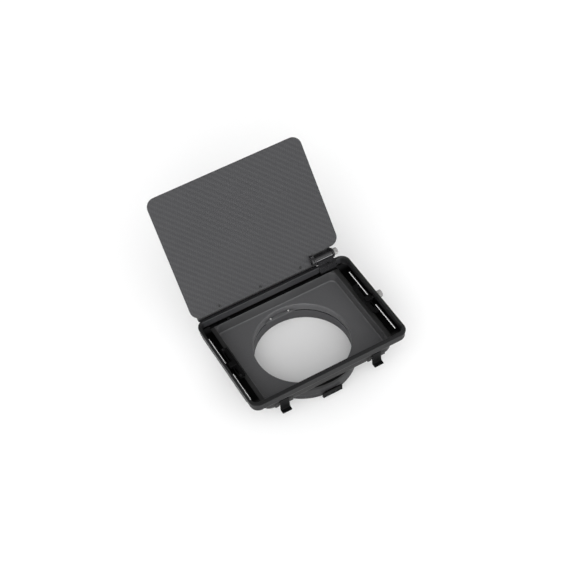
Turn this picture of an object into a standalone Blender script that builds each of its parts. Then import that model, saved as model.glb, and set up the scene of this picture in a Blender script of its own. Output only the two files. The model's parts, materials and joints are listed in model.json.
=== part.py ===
"""Clip-on matte box with a folding top flag, lying on its rear ring.

Units are metres, +Z is up.  The origin is on the axis of the round bore, in the plane of
the rear ring's rear face.  +Z points along the bore towards the hood's open front, +Y
points towards the flag's hinge and +X towards the side lock screw.
"""

import math

import bmesh
import bpy
from mathutils import Vector

MM = 0.001
GAP = 0.3 * MM

# Hood: a shallow rectangular frame with an open front
HOOD_WIDTH = 160.0 * MM
HOOD_HEIGHT = 113.0 * MM
HOOD_CENTRE_Y = -1.0 * MM
HOOD_FRONT_Z = 42.0 * MM
HOOD_REAR_Z = 32.3 * MM
HOOD_CORNER = 9.0 * MM
LIP_THICKNESS = 1.4 * MM
LIP_OVERHANG = 0.8 * MM
HOOD_REAR_ROUNDING = 2.8 * MM
MOUTH_HALF_WIDTH = 77.6 * MM
MOUTH_LOW_Y = -53.0 * MM
MOUTH_HIGH_Y = 52.6 * MM
MOUTH_CORNER = 6.5 * MM
HOOD_FLOOR_Z = 34.0 * MM

# Strap slots through the hood's floor, two on each side
SLOT_INNER_X = 73.5 * MM
SLOT_OUTER_X = 75.8 * MM
SLOT_UPPER = (4.5 * MM, 40.0 * MM)
SLOT_LOWER = (-42.0 * MM, -6.0 * MM)

# Stage: the tray behind the hood that a filter frame sits in
STAGE_HALF_WIDTH = 68.0 * MM
STAGE_LOW_Y = -51.3 * MM
STAGE_HIGH_Y = 51.7 * MM
STAGE_RIM_Z = 32.0 * MM
STAGE_FLANGE_THICKNESS = 2.0 * MM
STAGE_FLANGE_HALF_WIDTH = 71.5 * MM
STAGE_FLANGE_LOW_Y = -53.2 * MM
STAGE_FLANGE_HIGH_Y = 51.8 * MM
STAGE_FLOOR_Z = 20.0 * MM
STAGE_REAR_Z = 18.4 * MM
STAGE_REAR_ROUNDING = 3.4 * MM
STAGE_CORNER = 11.0 * MM
TRAY_HALF_WIDTH = 63.4 * MM
TRAY_LOW_Y = -46.6 * MM
TRAY_HIGH_Y = 49.8 * MM
TRAY_CORNER = 6.5 * MM

# Bore and the rings behind it
RING_STEPS = 48
BORE_RADIUS = 45.5 * MM
BORE_CHAMFER = 0.8 * MM
SPIGOT_RADIUS = 47.5 * MM
SPIGOT_END_Z = 12.4 * MM
HOUSING_RADIUS = 52.5 * MM
HOUSING_FRONT_Z = STAGE_REAR_Z - GAP
HOUSING_REAR_Z = 8.0 * MM
SEAL_INNER_RADIUS = 46.3 * MM
SEAL_THICKNESS = 1.1 * MM
SLEEVE_INNER_RADIUS = 45.6 * MM
SLEEVE_OUTER_RADIUS = 47.0 * MM
SLEEVE_FRONT_Z = 10.7 * MM
FLANGE_RADIUS = 50.0 * MM
FLANGE_FRONT_Z = 2.2 * MM
LOCK_RING_RADIUS = 50.3 * MM
TAB_HALF_WIDTH = 10.0 * MM
TAB_OUTER_Y = -54.5 * MM
TAB_LIP_Y = -53.0 * MM
TAB_LIP_Z = 9.3 * MM

# Chord plate that closes the top of the bore's ledge
CHORD_Y = 42.0 * MM
CHORD_RADIUS = 45.2 * MM
CHORD_SCREW_X = 9.5 * MM
CHORD_SCREW_Y = 43.2 * MM
LEDGE_FRONT_Z = 13.4 * MM
CHORD_PLATE_THICKNESS = 1.0 * MM

# Small screw on the stage's top rim, in a recess of the hood's floor
RIM_SCREW_X = -47.9 * MM
RIM_SCREW_Y = 51.0 * MM
RIM_SCREW_HEAD = 1.5 * MM

# Side clips that hold a filter frame on the stage rim
CLIP_NOSE_X = 66.2 * MM
CLIP_INNER_X = 68.6 * MM
CLIP_OUTER_X = 72.4 * MM
CLIP_LOW_Y = -18.0 * MM
CLIP_HIGH_Y = 21.0 * MM
CLIP_REAR_Z = HOOD_FLOOR_Z + GAP
CLIP_FRONT_Z = 36.3 * MM

# Side lock screw, turning about X
LOCK_SCREW_Y = -0.7 * MM
LOCK_SCREW_Z = 36.1 * MM
LOCK_SHANK_RADIUS = 1.1 * MM
LOCK_KNOB_RADIUS = 3.7 * MM
LOCK_KNOB_START_X = 80.3 * MM
LOCK_KNOB_LENGTH = 4.6 * MM

# Flag hinge: the axis runs along X in front of the hood's top wall
HINGE_Y = 59.0 * MM
HINGE_Z = 46.5 * MM
BARREL_RADIUS = 3.4 * MM
BARREL_START_X = 49.6 * MM
BARREL_END_X = 67.4 * MM
HINGE_BORE_RADIUS = 1.6 * MM
HINGE_SHANK_RADIUS = 1.3 * MM
BLOCK_START_X = 50.5 * MM
BLOCK_END_X = 68.5 * MM

# Flag: measured along the panel from its lower edge, and out from its inner face
FLAG_ANGLE = math.radians(51.6)
FLAG_WIDTH = 159.0 * MM
FLAG_LENGTH = 119.0 * MM
FLAG_THICKNESS = 1.6 * MM
FLAG_CORNER = 9.0 * MM
EDGE_TO_AXIS = 3.9 * MM
FACE_TO_AXIS = 2.0 * MM
FLAG_NOTCH_X = 45.5 * MM
FLAG_NOTCH_LENGTH = 9.2 * MM
RAIL_THICKNESS = 2.0 * MM
RAIL_LENGTH = 12.0 * MM
RAIL_OVERHANG = 3.5 * MM
ARM_RADIUS = 4.6 * MM
FLAG_SCREWS_X = (-51.5 * MM, -8.5 * MM, 34.5 * MM)
FLAG_SCREW_UP = 3.0 * MM
BRACKET_SCREW_UP = 13.0 * MM

# Latches at the bottom edge, pivoting about X
LATCH_X = 47.75 * MM
LATCH_WIDTH = 9.5 * MM
LATCH_PIVOT_Y = -50.2 * MM
LATCH_PIVOT_Z = 21.7 * MM
LATCH_BARREL_RADIUS = 1.7 * MM
LATCH_PIN_RADIUS = 0.8 * MM
LATCH_HOLE_RADIUS = 1.1 * MM
LATCH_PLATE_OUTER_Y = -53.2 * MM
LATCH_PLATE_INNER_Y = -52.0 * MM
LATCH_TOP_Z = 28.0 * MM
LATCH_TIP_Y = -57.2 * MM
LATCH_TIP_Z = 13.6 * MM
LATCH_TIP_THICKNESS = 1.7 * MM
EAR_THICKNESS = 4.0 * MM

# Return springs on the latch pins
SPRING_TURNS = 4
SPRING_POINTS = 9
SPRING_RADIUS = 1.3 * MM
SPRING_WIRE = 0.36 * MM
SPRING_PITCH = 0.85 * MM

BLACK = (0.020, 0.020, 0.022)
SOFT_BLACK = (0.035, 0.035, 0.037)
CHARCOAL = (0.050, 0.050, 0.052)
CARBON = (0.090, 0.090, 0.093)
STRIP_GREY = (0.080, 0.080, 0.082)
STEEL = (0.620, 0.610, 0.600)
DARK_STEEL = (0.100, 0.100, 0.105)

parts = bpy.data.collections.new("matte_box")
cutters = bpy.data.collections.new("cutters")


def clear_scene():
    """Empty the scene and add the two collections."""
    for item in list(bpy.data.objects):
        bpy.data.objects.remove(item)
    bpy.context.scene.collection.children.link(parts)
    bpy.context.scene.collection.children.link(cutters)


def finish(item, colour, roughness, metallic=0.0):
    """Give a part its own material."""
    material = bpy.data.materials.new(item.name)
    material.use_nodes = True
    shader = material.node_tree.nodes["Principled BSDF"]
    shader.inputs["Base Color"].default_value = (*colour, 1.0)
    shader.inputs["Roughness"].default_value = roughness
    shader.inputs["Metallic"].default_value = metallic
    item.data.materials.append(material)
    return item


def add_object(name, mesh, place=(0, 0, 0), turn=(0, 0, 0)):
    """Put a mesh in the parts collection."""
    item = bpy.data.objects.new(name, mesh)
    item.location = place
    item.rotation_euler = turn
    parts.objects.link(item)
    return item


def as_cutter(item):
    """Move a shape out of the parts, to be used only by Boolean modifiers."""
    parts.objects.unlink(item)
    cutters.objects.link(item)
    item.hide_render = True
    item.display_type = "WIRE"
    return item


def boolean(item, other, operation):
    """Cut or join another shape, which becomes a cutter."""
    if other.name in parts.objects:
        as_cutter(other)
    step = item.modifiers.new(other.name, "BOOLEAN")
    step.operation = operation
    step.solver = "EXACT"
    step.object = other


def cut(item, *others):
    """Take shapes away from a part."""
    for other in others:
        boolean(item, other, "DIFFERENCE")


def join(item, *others):
    """Add shapes to a part."""
    for other in others:
        boolean(item, other, "UNION")


def edges_along(bm, axis):
    """The edges of a box that run along one axis."""
    found = []
    for edge in bm.edges:
        span = edge.verts[0].co - edge.verts[1].co
        if abs(span[axis]) > 0.9 * span.length:
            found.append(edge)
    return found


def bevel_edges(bm, edges, width, steps):
    """Round a set of edges."""
    bmesh.ops.bevel(
        bm, geom=edges, offset=width, offset_type="OFFSET", segments=steps, profile=0.5,
        affect="EDGES",
    )


def ends_at(bm, axis, place):
    """The edges whose two ends lie in one plane across an axis."""
    found = []
    for edge in bm.edges:
        if all(abs(vert.co[axis] - place) < 1e-6 for vert in edge.verts):
            found.append(edge)
    return found


def box(name, low, high, corner=0.0, steps=4, axis=2, rear=0.0, front=0.0, rim_steps=2):
    """A box between two corners.

    corner rounds the edges along the axis, rear and front round its low and high faces.
    """
    low = Vector(low)
    high = Vector(high)
    size = high - low
    bm = bmesh.new()
    bmesh.ops.create_cube(bm, size=1.0)
    bmesh.ops.scale(bm, verts=bm.verts, vec=size)
    if corner > 0:
        bevel_edges(bm, edges_along(bm, axis), corner, steps)
    if rear > 0:
        bevel_edges(bm, ends_at(bm, axis, -size[axis] / 2), rear, rim_steps)
    if front > 0:
        bevel_edges(bm, ends_at(bm, axis, size[axis] / 2), front, rim_steps)
    mesh = bpy.data.meshes.new(name)
    bm.to_mesh(mesh)
    bm.free()
    return add_object(name, mesh, (low + high) / 2)


def turned(name, outline, steps, place=(0, 0, 0), turn=(0, 0, 0), closed=False):
    """A turned shape: (radius, height) points that run down the outer side."""
    bm = bmesh.new()
    verts = [bm.verts.new((radius, 0, height)) for radius, height in outline]
    for first, second in zip(verts, verts[1:]):
        bm.edges.new((first, second))
    if closed:
        bm.edges.new((verts[-1], verts[0]))
    mesh = bpy.data.meshes.new(name)
    bm.to_mesh(mesh)
    bm.free()
    item = add_object(name, mesh, place, turn)
    screw = item.modifiers.new("turn", "SCREW")
    screw.axis = "Z"
    screw.angle = 2 * math.pi
    screw.steps = steps
    screw.render_steps = steps
    screw.use_merge_vertices = True
    screw.merge_threshold = 0.00001
    return item


def rod(name, radius, start, end, steps=12, chamfer=0.0):
    """A plain round bar between two points that lie along one axis."""
    start = Vector(start)
    end = Vector(end)
    span = end - start
    half = span.length / 2
    outline = [(0, half), (radius - chamfer, half)]
    if chamfer > 0:
        outline.append((radius, half - chamfer))
        outline.append((radius, chamfer - half))
    outline.append((radius - chamfer, -half))
    outline.append((0, -half))
    item = turned(name, outline, steps, (start + end) / 2)
    item.rotation_euler = span.to_track_quat("Z", "Y").to_euler()
    return item


def screw_part(name, place, head, shank, lengths, turn=(0, 0, 0), steps=12):
    """A round-headed screw: its head stands on +Z from place, its shank runs to -Z."""
    head_length, shank_length = lengths
    edge = head * 0.25
    socket = head * 0.45
    outline = [
        (0, head_length * 0.45),
        (socket, head_length * 0.45),
        (socket, head_length),
        (head - edge, head_length),
        (head, head_length - edge),
        (head, 0),
        (shank, 0),
        (shank, -shank_length),
        (0, -shank_length),
    ]
    return turned(name, outline, steps, place, turn)


def knurled(name, radius, depth, flutes, start, length):
    """A fluted knob along X, with chamfered ends."""
    bm = bmesh.new()
    bmesh.ops.create_cone(
        bm, cap_ends=True, segments=2 * flutes, radius1=radius, radius2=radius, depth=length,
    )
    for vert in bm.verts:
        angle = math.atan2(vert.co.y, vert.co.x)
        shrink = depth * (0.5 - 0.5 * math.cos(flutes * angle))
        factor = (radius - shrink) / radius
        vert.co.x *= factor
        vert.co.y *= factor
    rims = [edge for edge in bm.edges if abs(edge.verts[0].co.z - edge.verts[1].co.z) < 1e-7]
    bevel_edges(bm, rims, 0.35 * MM, 1)
    mesh = bpy.data.meshes.new(name)
    bm.to_mesh(mesh)
    bm.free()
    place = Vector(start) + Vector((length / 2, 0, 0))
    return add_object(name, mesh, place, (0, math.pi / 2, 0))


def smooth(item, angle=35):
    """Shade a round piece smooth between its sharp edges."""
    item.data.shade_smooth()
    item.data.set_sharp_from_angle(angle=math.radians(angle))
    return item


def empty(name, place, turn=(0, 0, 0)):
    """An empty on a joint's axis."""
    axis = bpy.data.objects.new(name, None)
    axis.location = place
    axis.rotation_euler = turn
    axis.empty_display_size = 10 * MM
    parts.objects.link(axis)
    return axis


def hang(axis, *items):
    """Parent pieces to an empty and leave them where they are in its own frame."""
    for item in items:
        item.parent = axis


def carry(axis, *items):
    """Parent pieces to an empty without moving them in the world."""
    bpy.context.view_layer.update()
    for item in items:
        item.parent = axis
        item.matrix_parent_inverse = axis.matrix_world.inverted()


def hood_screw_places():
    """Where the stage is screwed to the hood from behind."""
    return [(side * 69.9 * MM, y) for side in (-1, 1) for y in (-37 * MM, 1.5 * MM, 38 * MM)]


def hood_frame():
    """The hood: lip, walls and floor in one moulding, open for the stage."""
    half_x = HOOD_WIDTH / 2
    half_y = HOOD_HEIGHT / 2
    inset = LIP_OVERHANG
    hood = box(
        "hood_frame",
        (inset - half_x, HOOD_CENTRE_Y - half_y + inset, HOOD_REAR_Z),
        (half_x - inset, HOOD_CENTRE_Y + half_y - inset, HOOD_FRONT_Z - LIP_THICKNESS / 2),
        HOOD_CORNER - inset, 5, rear=HOOD_REAR_ROUNDING, rim_steps=3,
    )
    lip = box(
        "hood_lip",
        (-half_x, HOOD_CENTRE_Y - half_y, HOOD_FRONT_Z - LIP_THICKNESS),
        (half_x, HOOD_CENTRE_Y + half_y, HOOD_FRONT_Z),
        HOOD_CORNER, 5, front=0.4 * MM, rim_steps=1,
    )
    mouth = box(
        "hood_mouth",
        (-MOUTH_HALF_WIDTH, MOUTH_LOW_Y, HOOD_FLOOR_Z),
        (MOUTH_HALF_WIDTH, MOUTH_HIGH_Y, HOOD_FRONT_Z + 5 * MM),
        MOUTH_CORNER, 4,
    )
    opening = box(
        "hood_floor_opening",
        (-STAGE_HALF_WIDTH - GAP, -50 * MM, HOOD_REAR_Z - 5 * MM),
        (STAGE_HALF_WIDTH + GAP, 52.0 * MM, HOOD_FLOOR_Z + 1 * MM),
        3 * MM, 2,
    )
    join(hood, lip)
    cut(hood, mouth, opening)
    for side in (-1, 1):
        for low_y, high_y in (SLOT_UPPER, SLOT_LOWER):
            edges = sorted((side * SLOT_INNER_X, side * SLOT_OUTER_X))
            slot = box(
                "strap_slot",
                (edges[0], low_y, HOOD_REAR_Z - 5 * MM),
                (edges[1], high_y, HOOD_FLOOR_Z + 1 * MM),
                0.8 * MM, 1,
            )
            cut(hood, slot)
    notch = box(
        "hinge_block_notch",
        (BLOCK_START_X - GAP, MOUTH_HIGH_Y - 1 * MM, HOOD_FLOOR_Z + GAP),
        (BLOCK_END_X + GAP, HOOD_CENTRE_Y + half_y + 5 * MM, HOOD_FRONT_Z + 5 * MM),
    )
    bridge_hole = rod(
        "lock_screw_hole", LOCK_SHANK_RADIUS + GAP,
        (MOUTH_HALF_WIDTH - 3 * MM, LOCK_SCREW_Y, LOCK_SCREW_Z),
        (half_x + 2 * MM, LOCK_SCREW_Y, LOCK_SCREW_Z), 12,
    )
    recess = rod(
        "rim_screw_recess", RIM_SCREW_HEAD + GAP,
        (RIM_SCREW_X, RIM_SCREW_Y, HOOD_REAR_Z - 1 * MM), (RIM_SCREW_X, RIM_SCREW_Y, 35 * MM), 16,
    )
    cut(hood, notch, bridge_hole, recess)
    for x, y in hood_screw_places():
        hole = rod(
            "stage_screw_hole", 1.0 * MM,
            (x, y, HOOD_REAR_Z - 1 * MM), (x, y, HOOD_REAR_Z + 1.2 * MM), 10,
        )
        cut(hood, hole)
    for y in (CLIP_LOW_Y + 2.5 * MM, CLIP_HIGH_Y - 2.5 * MM):
        hole = rod(
            "clip_screw_hole", 0.9 * MM,
            (-70.6 * MM, y, HOOD_FLOOR_Z - 1.1 * MM), (-70.6 * MM, y, HOOD_FLOOR_Z + 1 * MM), 10,
        )
        cut(hood, hole)
    return smooth(finish(hood, SOFT_BLACK, 0.55))


def side_grips():
    """Knurled grip strips let into the hood's side walls."""
    for side, word in ((-1, "left"), (1, "right")):
        edges = sorted((side * 79.5 * MM, side * 80.3 * MM))
        strip = box(
            "side_grip_" + word,
            (edges[0], -44 * MM, 36.3 * MM), (edges[1], 42 * MM, 40.3 * MM),
            0.5 * MM, 1, axis=0,
        )
        if side > 0:
            hole = rod(
                "grip_screw_hole", LOCK_SHANK_RADIUS + GAP,
                (78 * MM, LOCK_SCREW_Y, LOCK_SCREW_Z), (82 * MM, LOCK_SCREW_Y, LOCK_SCREW_Z),
            )
            cut(strip, hole)
        finish(strip, STRIP_GREY, 0.8)


def latch_sides():
    """The two latches mirror each other in X."""
    return ((-1, "left"), (1, "right"))


def stage_body():
    """The stage: rim flange, tray with a rounded back, bore spigot and latch ears."""
    stage = box(
        "stage_body",
        (-STAGE_HALF_WIDTH, STAGE_LOW_Y, STAGE_REAR_Z),
        (STAGE_HALF_WIDTH, STAGE_HIGH_Y, STAGE_RIM_Z - 1 * MM),
        STAGE_CORNER, 5, rear=STAGE_REAR_ROUNDING, rim_steps=3,
    )
    flange = box(
        "stage_flange",
        (-STAGE_FLANGE_HALF_WIDTH, STAGE_FLANGE_LOW_Y, STAGE_RIM_Z - STAGE_FLANGE_THICKNESS),
        (STAGE_FLANGE_HALF_WIDTH, STAGE_FLANGE_HIGH_Y, STAGE_RIM_Z),
        4 * MM, 2,
    )
    spigot = rod(
        "bore_spigot", SPIGOT_RADIUS, (0, 0, SPIGOT_END_Z), (0, 0, STAGE_REAR_Z + 1 * MM),
        RING_STEPS,
    )
    tray = box(
        "tray_hollow",
        (-TRAY_HALF_WIDTH, TRAY_LOW_Y, STAGE_FLOOR_Z),
        (TRAY_HALF_WIDTH, TRAY_HIGH_Y, STAGE_RIM_Z + 5 * MM),
        TRAY_CORNER, 4, rear=0.8 * MM, rim_steps=1,
    )
    bore = turned(
        "bore_cutter",
        [
            (0, STAGE_FLOOR_Z + 2 * MM),
            (BORE_RADIUS + BORE_CHAMFER + 2 * MM, STAGE_FLOOR_Z + 2 * MM),
            (BORE_RADIUS, STAGE_FLOOR_Z - BORE_CHAMFER),
            (BORE_RADIUS, SPIGOT_END_Z - 2 * MM),
            (0, SPIGOT_END_Z - 2 * MM),
        ],
        RING_STEPS,
    )
    ledge = box(
        "chord_ledge",
        (-18 * MM, CHORD_Y, SPIGOT_END_Z), (18 * MM, 46.4 * MM, LEDGE_FRONT_Z),
    )
    ledge_trim = rod(
        "ledge_trim", SPIGOT_RADIUS - 0.6 * MM, (0, 0, SPIGOT_END_Z - 1 * MM),
        (0, 0, LEDGE_FRONT_Z + 1 * MM), RING_STEPS,
    )
    boolean(ledge, ledge_trim, "INTERSECT")
    join(stage, flange, spigot)
    cut(stage, tray, bore)
    join(stage, ledge)
    for side, word in latch_sides():
        for edge in (-1, 1):
            start = side * LATCH_X + edge * (LATCH_WIDTH / 2 + GAP)
            end = start + edge * EAR_THICKNESS
            ear = box(
                "latch_ear",
                (min(start, end), -52.4 * MM, 19.4 * MM), (max(start, end), -49 * MM, 24 * MM),
                1.4 * MM, 2, axis=0,
            )
            join(stage, ear)
    for side, word in latch_sides():
        middle = side * LATCH_X
        reach = LATCH_WIDTH / 2 + GAP
        pocket = box(
            "latch_pocket",
            (middle - reach, -60 * MM, 10 * MM), (middle + reach, -48.1 * MM, 24.2 * MM),
        )
        window = box(
            "latch_window",
            (middle - 3.9 * MM, -60 * MM, 23.9 * MM), (middle + 3.9 * MM, -40 * MM, 27.9 * MM),
        )
        pin_hole = rod(
            "latch_pin_hole", LATCH_HOLE_RADIUS,
            (middle - reach - 1.5 * MM, LATCH_PIVOT_Y, LATCH_PIVOT_Z),
            (middle + reach + 1.5 * MM, LATCH_PIVOT_Y, LATCH_PIVOT_Z), 12,
        )
        cut(stage, pocket, window, pin_hole)
    for x, y in hood_screw_places():
        cut(stage, rod("flange_hole", 1.1 * MM, (x, y, 29 * MM), (x, y, 33 * MM), 10))
    for x in (-CHORD_SCREW_X, CHORD_SCREW_X):
        cut(stage, rod(
            "chord_screw_hole", 0.6 * MM,
            (x, CHORD_SCREW_Y, SPIGOT_END_Z + 0.3 * MM), (x, CHORD_SCREW_Y, 15 * MM), 8,
        ))
    for x, y in ring_screw_places():
        cut(stage, rod("ring_screw_hole", 0.9 * MM, (x, y, 17 * MM), (x, y, 19.4 * MM), 8))
    for x, y in bumper_places():
        cut(stage, rod("bumper_hole", 1.3 * MM, (x, y, 17 * MM), (x, y, 19.3 * MM), 10))
    cut(stage, rod(
        "rim_screw_hole", 0.9 * MM, (RIM_SCREW_X, RIM_SCREW_Y, 29.3 * MM),
        (RIM_SCREW_X, RIM_SCREW_Y, 33 * MM), 8,
    ))
    return smooth(finish(stage, CHARCOAL, 0.6))


def bumper_places():
    """The four bumpers near the corners of the stage's rear face."""
    return [(x * MM, y * MM) for x in (-59.3, 59.3) for y in (-43.5, 44.0)]


def ring_screw_places():
    """Four screws hold the ring housing to the stage."""
    radius = 50.0 * MM
    angles = [math.radians(45 + 90 * index) for index in range(4)]
    return [(radius * math.cos(angle), radius * math.sin(angle)) for angle in angles]


def stage_screws():
    """Screws through the flange into the hood, their heads at the rear."""
    for index, (x, y) in enumerate(hood_screw_places(), 1):
        item = screw_part(
            "stage_screw_%d" % index, (x, y, STAGE_RIM_Z - STAGE_FLANGE_THICKNESS - GAP),
            1.5 * MM, 0.7 * MM, (1.0 * MM, 3.3 * MM), (math.pi, 0, 0), 10,
        )
        smooth(finish(item, DARK_STEEL, 0.4, 0.9))


def rear_bumpers():
    """Rubber bumpers pushed into the stage's rear face."""
    for index, (x, y) in enumerate(bumper_places(), 1):
        top = STAGE_REAR_Z - GAP
        outline = [
            (0, top + 0.9 * MM),
            (1.0 * MM, top + 0.9 * MM),
            (1.0 * MM, top),
            (3.3 * MM, top),
            (3.3 * MM, top - 2.4 * MM),
            (2.6 * MM, top - 3.2 * MM),
            (0, top - 3.2 * MM),
        ]
        item = turned("rear_bumper_%d" % index, outline, 16, (x, y, 0))
        smooth(finish(item, BLACK, 0.85))


def bore_plate():
    """The chord-shaped plate on the ledge in the bore, with its two screws."""
    low = LEDGE_FRONT_Z + GAP
    high = low + CHORD_PLATE_THICKNESS
    plate = box("bore_plate", (-18 * MM, CHORD_Y, low), (18 * MM, 46 * MM, high))
    trim = rod("plate_trim", CHORD_RADIUS - GAP, (0, 0, low - 1 * MM), (0, 0, high + 1 * MM), RING_STEPS)
    boolean(plate, trim, "INTERSECT")
    for x, word in ((-CHORD_SCREW_X, "left"), (CHORD_SCREW_X, "right")):
        cut(plate, rod("plate_hole", 0.6 * MM, (x, CHORD_SCREW_Y, 12 * MM), (x, CHORD_SCREW_Y, 16 * MM), 8))
        item = screw_part(
            "bore_plate_screw_" + word, (x, CHORD_SCREW_Y, high + 0.15 * MM),
            0.85 * MM, 0.35 * MM, (0.6 * MM, 2.0 * MM), steps=10,
        )
        smooth(finish(item, STEEL, 0.3, 1.0))
    return finish(plate, CHARCOAL, 0.5)


def ring_housing():
    """The round housing behind the stage."""
    edge = 1.0 * MM
    profile = [
        (HOUSING_RADIUS - edge * 0.6, HOUSING_FRONT_Z),
        (HOUSING_RADIUS, HOUSING_FRONT_Z - edge * 0.6),
        (HOUSING_RADIUS, HOUSING_REAR_Z + edge),
        (HOUSING_RADIUS - edge, HOUSING_REAR_Z),
        (SLEEVE_OUTER_RADIUS + GAP, HOUSING_REAR_Z),
        (SLEEVE_OUTER_RADIUS + GAP, SPIGOT_END_Z - GAP),
        (SPIGOT_RADIUS + GAP, SPIGOT_END_Z - GAP),
        (SPIGOT_RADIUS + GAP, HOUSING_FRONT_Z),
    ]
    housing = turned("ring_housing", profile, RING_STEPS, closed=True)
    for x, y in ring_screw_places():
        cut(housing, rod("housing_hole", 0.9 * MM, (x, y, 7 * MM), (x, y, 19 * MM), 10))
        cut(housing, rod("housing_sink", 1.7 * MM, (x, y, 7 * MM), (x, y, 9.6 * MM), 10))
    return smooth(finish(housing, CHARCOAL, 0.5))


def ring_screws():
    """Countersunk screws through the housing into the stage."""
    for index, (x, y) in enumerate(ring_screw_places(), 1):
        item = screw_part(
            "ring_screw_%d" % index, (x, y, 9.3 * MM), 1.4 * MM, 0.6 * MM,
            (1.0 * MM, 9.8 * MM), (math.pi, 0, 0), 10,
        )
        smooth(finish(item, DARK_STEEL, 0.4, 0.9))


def light_seal():
    """A soft ring between the spigot and the sleeve, which shows as a dark groove."""
    low = SLEEVE_FRONT_Z + GAP
    high = low + SEAL_THICKNESS
    outer = SLEEVE_OUTER_RADIUS
    profile = [(outer, high), (outer, low), (SEAL_INNER_RADIUS, low), (SEAL_INNER_RADIUS, high)]
    return smooth(finish(turned("light_seal", profile, RING_STEPS, closed=True), BLACK, 0.95))


def retaining_ring():
    """The threaded sleeve and flange that hold the lock ring, with two spanner notches."""
    edge = 0.5 * MM
    profile = [
        (SLEEVE_OUTER_RADIUS, SLEEVE_FRONT_Z),
        (SLEEVE_OUTER_RADIUS, FLANGE_FRONT_Z),
        (FLANGE_RADIUS, FLANGE_FRONT_Z),
        (FLANGE_RADIUS, edge),
        (FLANGE_RADIUS - edge, 0),
        (SLEEVE_INNER_RADIUS + edge, 0),
        (SLEEVE_INNER_RADIUS, edge),
        (SLEEVE_INNER_RADIUS, SLEEVE_FRONT_Z),
    ]
    ring = turned("retaining_ring", profile, RING_STEPS, closed=True)
    for side in (-1, 1):
        edges = sorted((side * 47.3 * MM, side * 52 * MM))
        cut(ring, box("spanner_notch", (-1.5 * MM, edges[0], -1 * MM), (1.5 * MM, edges[1], 0.9 * MM)))
    return smooth(finish(ring, SOFT_BLACK, 0.45, 0.3))


def lock_ring():
    """The turning ring whose tab locks the lens adapter."""
    inner = SLEEVE_OUTER_RADIUS + GAP
    low = FLANGE_FRONT_Z + GAP
    high = HOUSING_REAR_Z - GAP
    edge = 0.6 * MM
    profile = [
        (LOCK_RING_RADIUS, high),
        (LOCK_RING_RADIUS, low + edge),
        (LOCK_RING_RADIUS - edge, low),
        (inner, low),
        (inner, high),
    ]
    ring = turned("lock_ring", profile, RING_STEPS, closed=True)
    arm = box(
        "tab_arm",
        (4 * MM - TAB_HALF_WIDTH, -52 * MM, 3.2 * MM), (TAB_HALF_WIDTH - 4 * MM, -48.6 * MM, 7 * MM),
    )
    join(ring, arm)
    tab = box(
        "release_tab",
        (-TAB_HALF_WIDTH, TAB_OUTER_Y, 2.8 * MM), (TAB_HALF_WIDTH, -52.3 * MM, 7.4 * MM),
        0.8 * MM, 2,
    )
    lip = box(
        "tab_lip",
        (-TAB_HALF_WIDTH, TAB_OUTER_Y, 6 * MM), (TAB_HALF_WIDTH, TAB_LIP_Y, TAB_LIP_Z),
        0.6 * MM, 2,
    )
    join(tab, lip)
    axis = empty("lock_ring_axis", (0, 0, (low + high) / 2))
    smooth(finish(ring, SOFT_BLACK, 0.5))
    smooth(finish(tab, BLACK, 0.6))
    items = [ring, tab]
    for x, word in ((-3.6 * MM, "left"), (3.6 * MM, "right")):
        for target in (ring, tab):
            cut(target, rod(
                "tab_screw_hole", 0.9 * MM, (x, -56 * MM, 5.1 * MM), (x, -50.4 * MM, 5.1 * MM), 8,
            ))
        cut(tab, rod("tab_screw_sink", 1.5 * MM, (x, -56 * MM, 5.1 * MM), (x, -53.2 * MM, 5.1 * MM), 10))
        item = screw_part(
            "tab_screw_" + word, (x, -53.5 * MM, 5.1 * MM), 1.2 * MM, 0.6 * MM,
            (0.8 * MM, 2.7 * MM), (math.pi / 2, 0, 0), 10,
        )
        items.append(smooth(finish(item, DARK_STEEL, 0.4, 0.9)))
    carry(axis, *items)


def clip_shape(name, side):
    """A side clip: a windowed bar on the hood floor with a nose over the stage rim."""
    edges = sorted((side * CLIP_INNER_X, side * CLIP_OUTER_X))
    clip = box(
        name, (edges[0], CLIP_LOW_Y, CLIP_REAR_Z), (edges[1], CLIP_HIGH_Y, CLIP_FRONT_Z),
        0.8 * MM, 2,
    )
    nose_edges = sorted((side * CLIP_NOSE_X, side * (CLIP_INNER_X + 0.4 * MM)))
    nose = box(
        name + "_nose",
        (nose_edges[0], CLIP_LOW_Y + 1.5 * MM, CLIP_REAR_Z + 0.6 * MM),
        (nose_edges[1], CLIP_HIGH_Y - 1.5 * MM, CLIP_FRONT_Z + 0.4 * MM),
        0.5 * MM, 2,
    )
    boss_edges = sorted((side * (CLIP_INNER_X - 0.4 * MM), side * (CLIP_OUTER_X - 0.2 * MM)))
    boss = box(
        name + "_boss",
        (boss_edges[0], LOCK_SCREW_Y - 2.7 * MM, CLIP_REAR_Z + 0.2 * MM),
        (boss_edges[1], LOCK_SCREW_Y + 2.7 * MM, LOCK_SCREW_Z + 2.0 * MM),
        0.5 * MM, 2, axis=0,
    )
    join(clip, nose, boss)
    window_edges = sorted((side * (CLIP_INNER_X + 1.4 * MM), side * (CLIP_OUTER_X - 0.7 * MM)))
    for low_y, high_y in ((3.5 * MM, 15.5 * MM), (-12.5 * MM, -5.0 * MM)):
        cut(clip, box(
            name + "_window",
            (window_edges[0], low_y, 30 * MM), (window_edges[1], high_y, 40 * MM), 0.4 * MM, 1,
        ))
    return clip


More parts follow.
